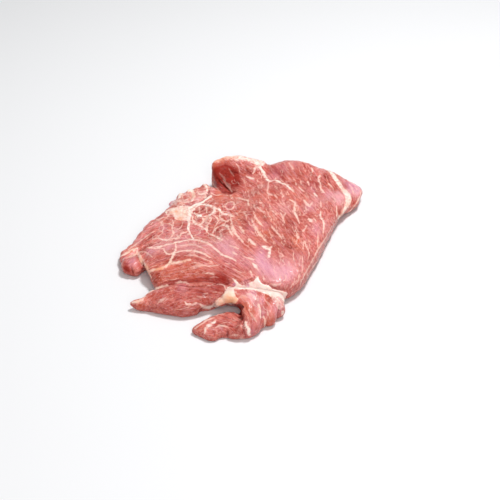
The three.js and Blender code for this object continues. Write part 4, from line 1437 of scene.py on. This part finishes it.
class Graph:
    """A material's nodes, with short ways to add and join them."""

    def __init__(self, name):
        self.material = bpy.data.materials.new(name)
        self.material.use_nodes = True
        self.nodes = self.material.node_tree.nodes
        self.shader = self.nodes["Principled BSDF"]

    def join(self, value, socket):
        """Links a value from another node to a socket, or sets a plain one on it."""
        if isinstance(value, bpy.types.NodeSocket):
            self.material.node_tree.links.new(value, socket)
        else:
            socket.default_value = value

    def add(self, kind, inputs, out=0, **settings):
        """Adds a node with its settings and inputs, and returns one of its outputs."""
        made = self.nodes.new("ShaderNode" + kind)
        for key, value in settings.items():
            setattr(made, key, value)
        for key, value in inputs.items():
            self.join(value, made.inputs[key])
        return made.outputs[out]

    def maths(self, operation, a, b):
        return self.add("Math", {0: a, 1: b}, operation=operation)

    def product(self, a, b):
        return self.maths("MULTIPLY", a, b)

    def larger(self, a, b):
        return self.maths("MAXIMUM", a, b)

    def weighted_sum(self, values, shares):
        """The sum of named values, each times its share."""
        total = 0.0
        for name, share in shares.items():
            total = self.maths("ADD", total, self.product(getattr(values, name), share))
        return total

    def vector(self, operation, inputs, out=0):
        return self.add("VectorMath", inputs, out, operation=operation)

    def ramp(self, value, low, high, start, end):
        """Start where the value is at low, end where it is at high, softly between."""
        return self.add("MapRange", {0: value, 1: low, 2: high, 3: start, 4: end},
                        interpolation_type="SMOOTHSTEP")

    def named_ramp(self, value, name):
        """A ramp with the numbers that the table gives for an effect."""
        return self.ramp(value, *RAMPS[name])

    def mix(self, share, a, b, blend="MIX"):
        return self.add("Mix", {0: share, 6: a, 7: b}, out=2, data_type="RGBA", blend_type=blend)

    def layered(self, colour, *layers):
        """A colour with others laid over it, each by its share."""
        for share, over in layers:
            colour = self.mix(share, colour, linear(*over))
        return colour

    def noise(self, vector, scale, detail, roughness=0.55, out=0):
        return self.add("TexNoise", {"Vector": vector, "Scale": scale, "Detail": detail,
                                     "Roughness": roughness}, out)

    def stretched(self, vector, sizes):
        """A vector counted in sizes given in millimetres."""
        return self.vector("MULTIPLY", {0: vector, 1: [1 / size for size in sizes]})

    def attribute(self, name):
        return self.add("Attribute", {}, out=1, attribute_name=name)

    def parts(self, name):
        """The three numbers of an attribute."""
        split = self.nodes.new("ShaderNodeSeparateXYZ")
        self.join(self.attribute(name), split.inputs[0])
        return list(split.outputs)


def meat_values(g):
    """The attributes of the meat and its textures, along its grain and all around."""
    v = SimpleNamespace()
    v.gap, v.half, v.strength = g.parts("strand_size")
    v.fat, v.deep, v.warm = g.parts("tone")
    v.veil, v.mauve, v.smooth = g.parts("film")
    v.cavity, v.crease, v.facing_up = g.parts("form")
    v.grainy = g.maths("SUBTRACT", 1.0, g.product(v.smooth, SMOOTH_HIDES))
    grain = g.attribute("grain")
    place = g.vector("SCALE", {0: g.add("TexCoord", {}, out=3), "Scale": 1 / MM})
    for name, (sizes, detail, roughness) in GRAIN_TEXTURES.items():
        setattr(v, name, g.noise(g.stretched(grain, sizes), 1.0, detail, roughness))
    for name, (size, detail) in ROUND_TEXTURES.items():
        setattr(v, name, g.noise(place, 1 / size, detail))
    bend = g.noise(place, 1 / BUNDLE_BEND_LENGTH, 2, roughness=0.5, out=1)
    bend = g.vector("SCALE", {0: bend, "Scale": BUNDLE_BEND})
    cells = {"Vector": g.vector("ADD", {0: g.stretched(grain, BUNDLE_SIZE), 1: bend}),
             "Scale": 1.0}
    v.cell_edge = g.add("TexVoronoi", cells, feature="DISTANCE_TO_EDGE")
    v.cell_tone = g.vector("DOT_PRODUCT", {0: g.add("TexVoronoi", cells, out=1), 1: (1, 0, 0)},
                           out=1)
    v.bundle_edges = g.named_ramp(v.cell_edge, "bundle edges")
    v.uneven_shine = g.named_ramp(v.fine, "uneven shine")
    v.unevenness = g.maths("SUBTRACT", v.ragged, TEXTURE_MIDDLE)
    return v


def lean_colour(g, v):
    """The lean: bundles and fibres, paler and darker skin, membrane with painted sheen, flecks of
    fat, dark red places, and painted shade and light.
    """
    rose = g.named_ramp(v.bundles, "rose bundles")
    brown = g.named_ramp(v.blotches, "brown blotches")
    colour = g.layered(g.mix(rose, linear(*LEAN_RED), linear(*LEAN_ROSE)), (brown, LEAN_BROWN),
                       (g.product(v.warm, WARM_MOST), WARM))
    for name, (palest, darkest, most) in TONES.items():
        for end, over in ((palest, LEAN_PALE), (darkest, LEAN_DARK)):
            share = g.ramp(getattr(v, name), TEXTURE_MIDDLE, end, 0, most)
            colour = g.layered(colour, (g.product(share, v.grainy), over))
    # The veil is membrane, partly painted sheen and highlights.
    veil = g.product(v.veil, g.named_ramp(v.bundles, "veil on bundles"))
    # Painted shade darkens the furrows and painted light pales the ridges.
    furrows = g.product(g.named_ramp(v.cavity, "dark furrows"), v.grainy)
    colour = g.layered(colour, (veil, VEIL), (g.product(v.mauve, MAUVE_MOST), MAUVE),
                       (g.named_ramp(v.hairs, "pale hairs"), VEIL), (furrows, LEAN_DARK),
                       (g.named_ramp(v.cavity, "pale ridges"), LEAN_PALE))
    flecks = g.product(g.named_ramp(v.speckle, "flecks"),
                       g.named_ramp(v.bundles, "flecks on bundles"))
    threads = g.product(g.named_ramp(v.cell_edge, "threads"),
                        g.named_ramp(v.patches, "patches of threads"))
    flecks = g.product(g.larger(flecks, threads), g.product(v.grainy, FLECKS_MOST))
    colour = g.layered(colour, (flecks, FLECK))
    # Painted shade: the deep tint, the upright sides and the creases darken the lean through one
    # filter.
    shade = g.larger(v.deep, g.named_ramp(v.facing_up, "dark upright sides"))
    shade = g.larger(shade, g.product(v.crease, CREASE_MOST))
    return g.mix(shade, colour, DEEP_FILTER, "MULTIPLY")


def strand_cover(g, v):
    """The distance from a strand in its half widths, and how far the strand hides the lean.

    The offset is blended between points, so that a thin strand stays whole.
    """
    reach = g.vector("LENGTH", {0: g.attribute("strand")}, out=1)
    reach = g.larger(reach, g.maths("SUBTRACT", v.gap, STRAND_SLACK))
    wobble = g.product(v.unevenness, STRAND_WOBBLE)
    breadth = g.product(g.larger(v.half, THINNEST_STRAND),
                        g.named_ramp(v.patches, "strand breadth"))
    reach = g.maths("DIVIDE", g.maths("ADD", reach, wobble), breadth)
    strand = g.product(g.named_ramp(reach, "strand edge"), v.strength)
    return reach, g.product(strand, g.named_ramp(v.patches, "strand patches"))


def fat_colour(g, v, broad):
    """Fat: cream to pink, rosy in patches, tan where it is warm, and less rich in thin strands."""
    rosy = g.product(g.named_ramp(v.patches, "rosy patches"),
                     g.named_ramp(v.fat, "rosy in thin fat"))
    pink = g.named_ramp(v.blotches, "pink fat")
    colour = g.layered(g.mix(pink, linear(*FAT_CREAM), linear(*FAT_PINK)), (rosy, FAT_ROSE),
                       (v.warm, FAT_TAN), (g.named_ramp(v.mauve, "mauve fat"), MAUVE))
    richness = g.larger(g.named_ramp(v.half, "rich strands"), broad)
    return g.mix(richness, linear(*FAT_THIN), colour)


def wet_skin(g, v):
    """Small relief along the fibres, and a wet film over it that is thin in dark places."""
    height = g.weighted_sum(v, RELIEF_SHARES)
    bumps = [g.add("Bump", {"Strength": strength, "Distance": BUMP_MM * MM, "Height": height})
             for strength in (BUMP_STRENGTH, FILM_STRENGTH)]
    for socket, value in {
        "Normal": bumps[0],
        "Roughness": g.weighted_sum(v, ROUGHNESS_SHARES),
        "IOR": 1.33,
        "Subsurface Weight": 0.2,
        "Subsurface Radius": (1.0, 0.35, 0.25),
        "Subsurface Scale": 1.6 * MM,
        "Coat Normal": bumps[1],
        "Coat Weight": g.named_ramp(v.deep, "wet film"),
        "Coat Roughness": 0.1,
    }.items():
        g.join(value, g.shader.inputs[socket])


def raw_meat():
    """Marbled lean under its strands and areas of fat, with a wet skin."""
    g = Graph("raw_meat")
    v = meat_values(g)
    reach, strand = strand_cover(g, v)
    broad = g.maths("ADD", v.fat, g.product(v.unevenness, FAT_WOBBLE))
    broad = g.named_ramp(broad, "broad fat edge")
    v.all_fat = g.larger(strand, broad)
    halo = g.product(g.named_ramp(reach, "strand halo"), v.strength)
    lean = g.layered(lean_colour(g, v), (halo, FAT_ROSE))
    g.join(g.mix(v.all_fat, lean, fat_colour(g, v, broad)), g.shader.inputs["Base Color"])
    wet_skin(g, v)
    return g.material


def make_camera():
    """The camera of the reference view."""
    data = bpy.data.cameras.new("camera")
    data.sensor_width = SENSOR
    data.lens = FOCAL / IMAGE * SENSOR
    data.clip_start = CLIP_START
    data.clip_end = CLIP_END
    camera = add_object("camera", data)
    right, up, forward = camera_axes()
    camera.location = Vector((EYE - MIDDLE) * MM)
    camera.rotation_euler = Matrix((right, up, -forward)).transposed().to_euler()
    bpy.context.scene.camera = camera


def area_light(name, place, size, power, colour):
    """A round soft light that shines at the origin."""
    data = bpy.data.lights.new(name, "AREA")
    data.shape = "DISK"
    data.size = size
    data.energy = power
    data.color = colour
    lamp = add_object(name, data)
    lamp.location = place
    lamp.rotation_euler = (-Vector(place)).to_track_quat("-Z", "Y").to_euler()


def make_floor():
    """A plain pale floor."""
    bpy.ops.mesh.primitive_plane_add(size=FLOOR_SIZE, location=(0, 0, 0))
    floor = bpy.context.object
    floor.name = "floor"
    g = Graph("pale_floor")
    g.join(FLOOR_COLOUR, g.shader.inputs["Base Color"])
    g.join(FLOOR_ROUGHNESS, g.shader.inputs["Roughness"])
    floor.data.materials.append(g.material)


def make_world():
    """Even white light from all around."""
    world = bpy.data.worlds.new("studio")
    world.use_nodes = True
    background = world.node_tree.nodes["Background"]
    background.inputs["Color"].default_value = (1, 1, 1, 1)
    background.inputs["Strength"].default_value = WORLD_STRENGTH
    bpy.context.scene.world = world
    bpy.context.scene.view_settings.view_transform = "Standard"


# The plain surface and its grain.
chance = np.random.default_rng(SEED)
field, low_corner = sample_block()
separate_touching(field)
points, quads = wrap_surface(field, low_corner)
points = relax(points, quads, RELAX_ROUNDS)
tree = BVHTree.FromPolygons(points.tolist(), quads.tolist())
normals = point_normals(points, quads)
arrows = [arrow_on_meat(*arrow) for arrow in ARROWS]
grain = grain_coordinates(points)

# The strands, and the walls of the net where they are nearer.
strands = [(*drawn_strand(route, width), strength) for route, width, strength in DRAWN_STRANDS]
strands += grow_strands(points, normals, chance, strands)
offset, gap, half_width, strength = nearest_strands(points, strands)
wall_offset, wall_gap, wall_half, net_mask = net_walls(points, chance)
nearer = (wall_gap < gap) & (wall_half > 0)
for nearest, wall in ((offset, wall_offset), (gap, wall_gap), (half_width, wall_half)):
    nearest[nearer] = wall[nearer]
strength[nearer] = NET_STRENGTH

# Tints and broad fat. The deep tint, dark red lean and partly painted shade, clears the fat away.
tints = {name: np.minimum(around_spots(points, spots), 1) for name, spots in TINTS.items()}
strength *= 1 - STRANDS_CLEARED * tints["deep"]
fat = broad_fat(points, normals) * (1 - FAT_CLEARED * tints["deep"])

# The fine surface.
scored = carved(points)
lobes = net_mask * (1 - np.exp(-wall_gap / PILLOW_EDGE))
cords = strength * np.exp(-(gap / (half_width + STRAND_FOOT))**2)
height = relief(points, grain, fat, cords, lobes) - scored
skin = points + (height * rise(points[:, 2], *RELIEF_FOOT))[:, None] * normals
skin[:, 2] = np.maximum(skin[:, 2], 0)
# Fold depths, for the painted shade in creases.
creases = np.maximum(CREASE_SHARE * fold_depth(points[:, 0], points[:, 1]), scored)

meat = new_mesh("marbled_meat", skin, quads)
add_attribute(meat.data, "grain", grain, points[:, 2])
add_attribute(meat.data, "strand", offset)
add_attribute(meat.data, "strand_size", gap, half_width, strength)
add_attribute(meat.data, "tone", fat, tints["deep"], tints["warm"])
add_attribute(meat.data, "film", tints["veil"], tints["mauve"], tints["smooth"])
# The form carries the cavities, creases and upward facing that drive painted shade and painted
# light.
add_attribute(meat.data, "form", cavities(skin, quads), rise(creases, *CREASE_DEPTHS),
              normals[:, 2])
meat.data.materials.append(raw_meat())
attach(meat, "root")
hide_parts(NODE)

make_camera()
for name, light in LIGHTS.items():
    area_light(name, *light)
make_floor()
make_world()
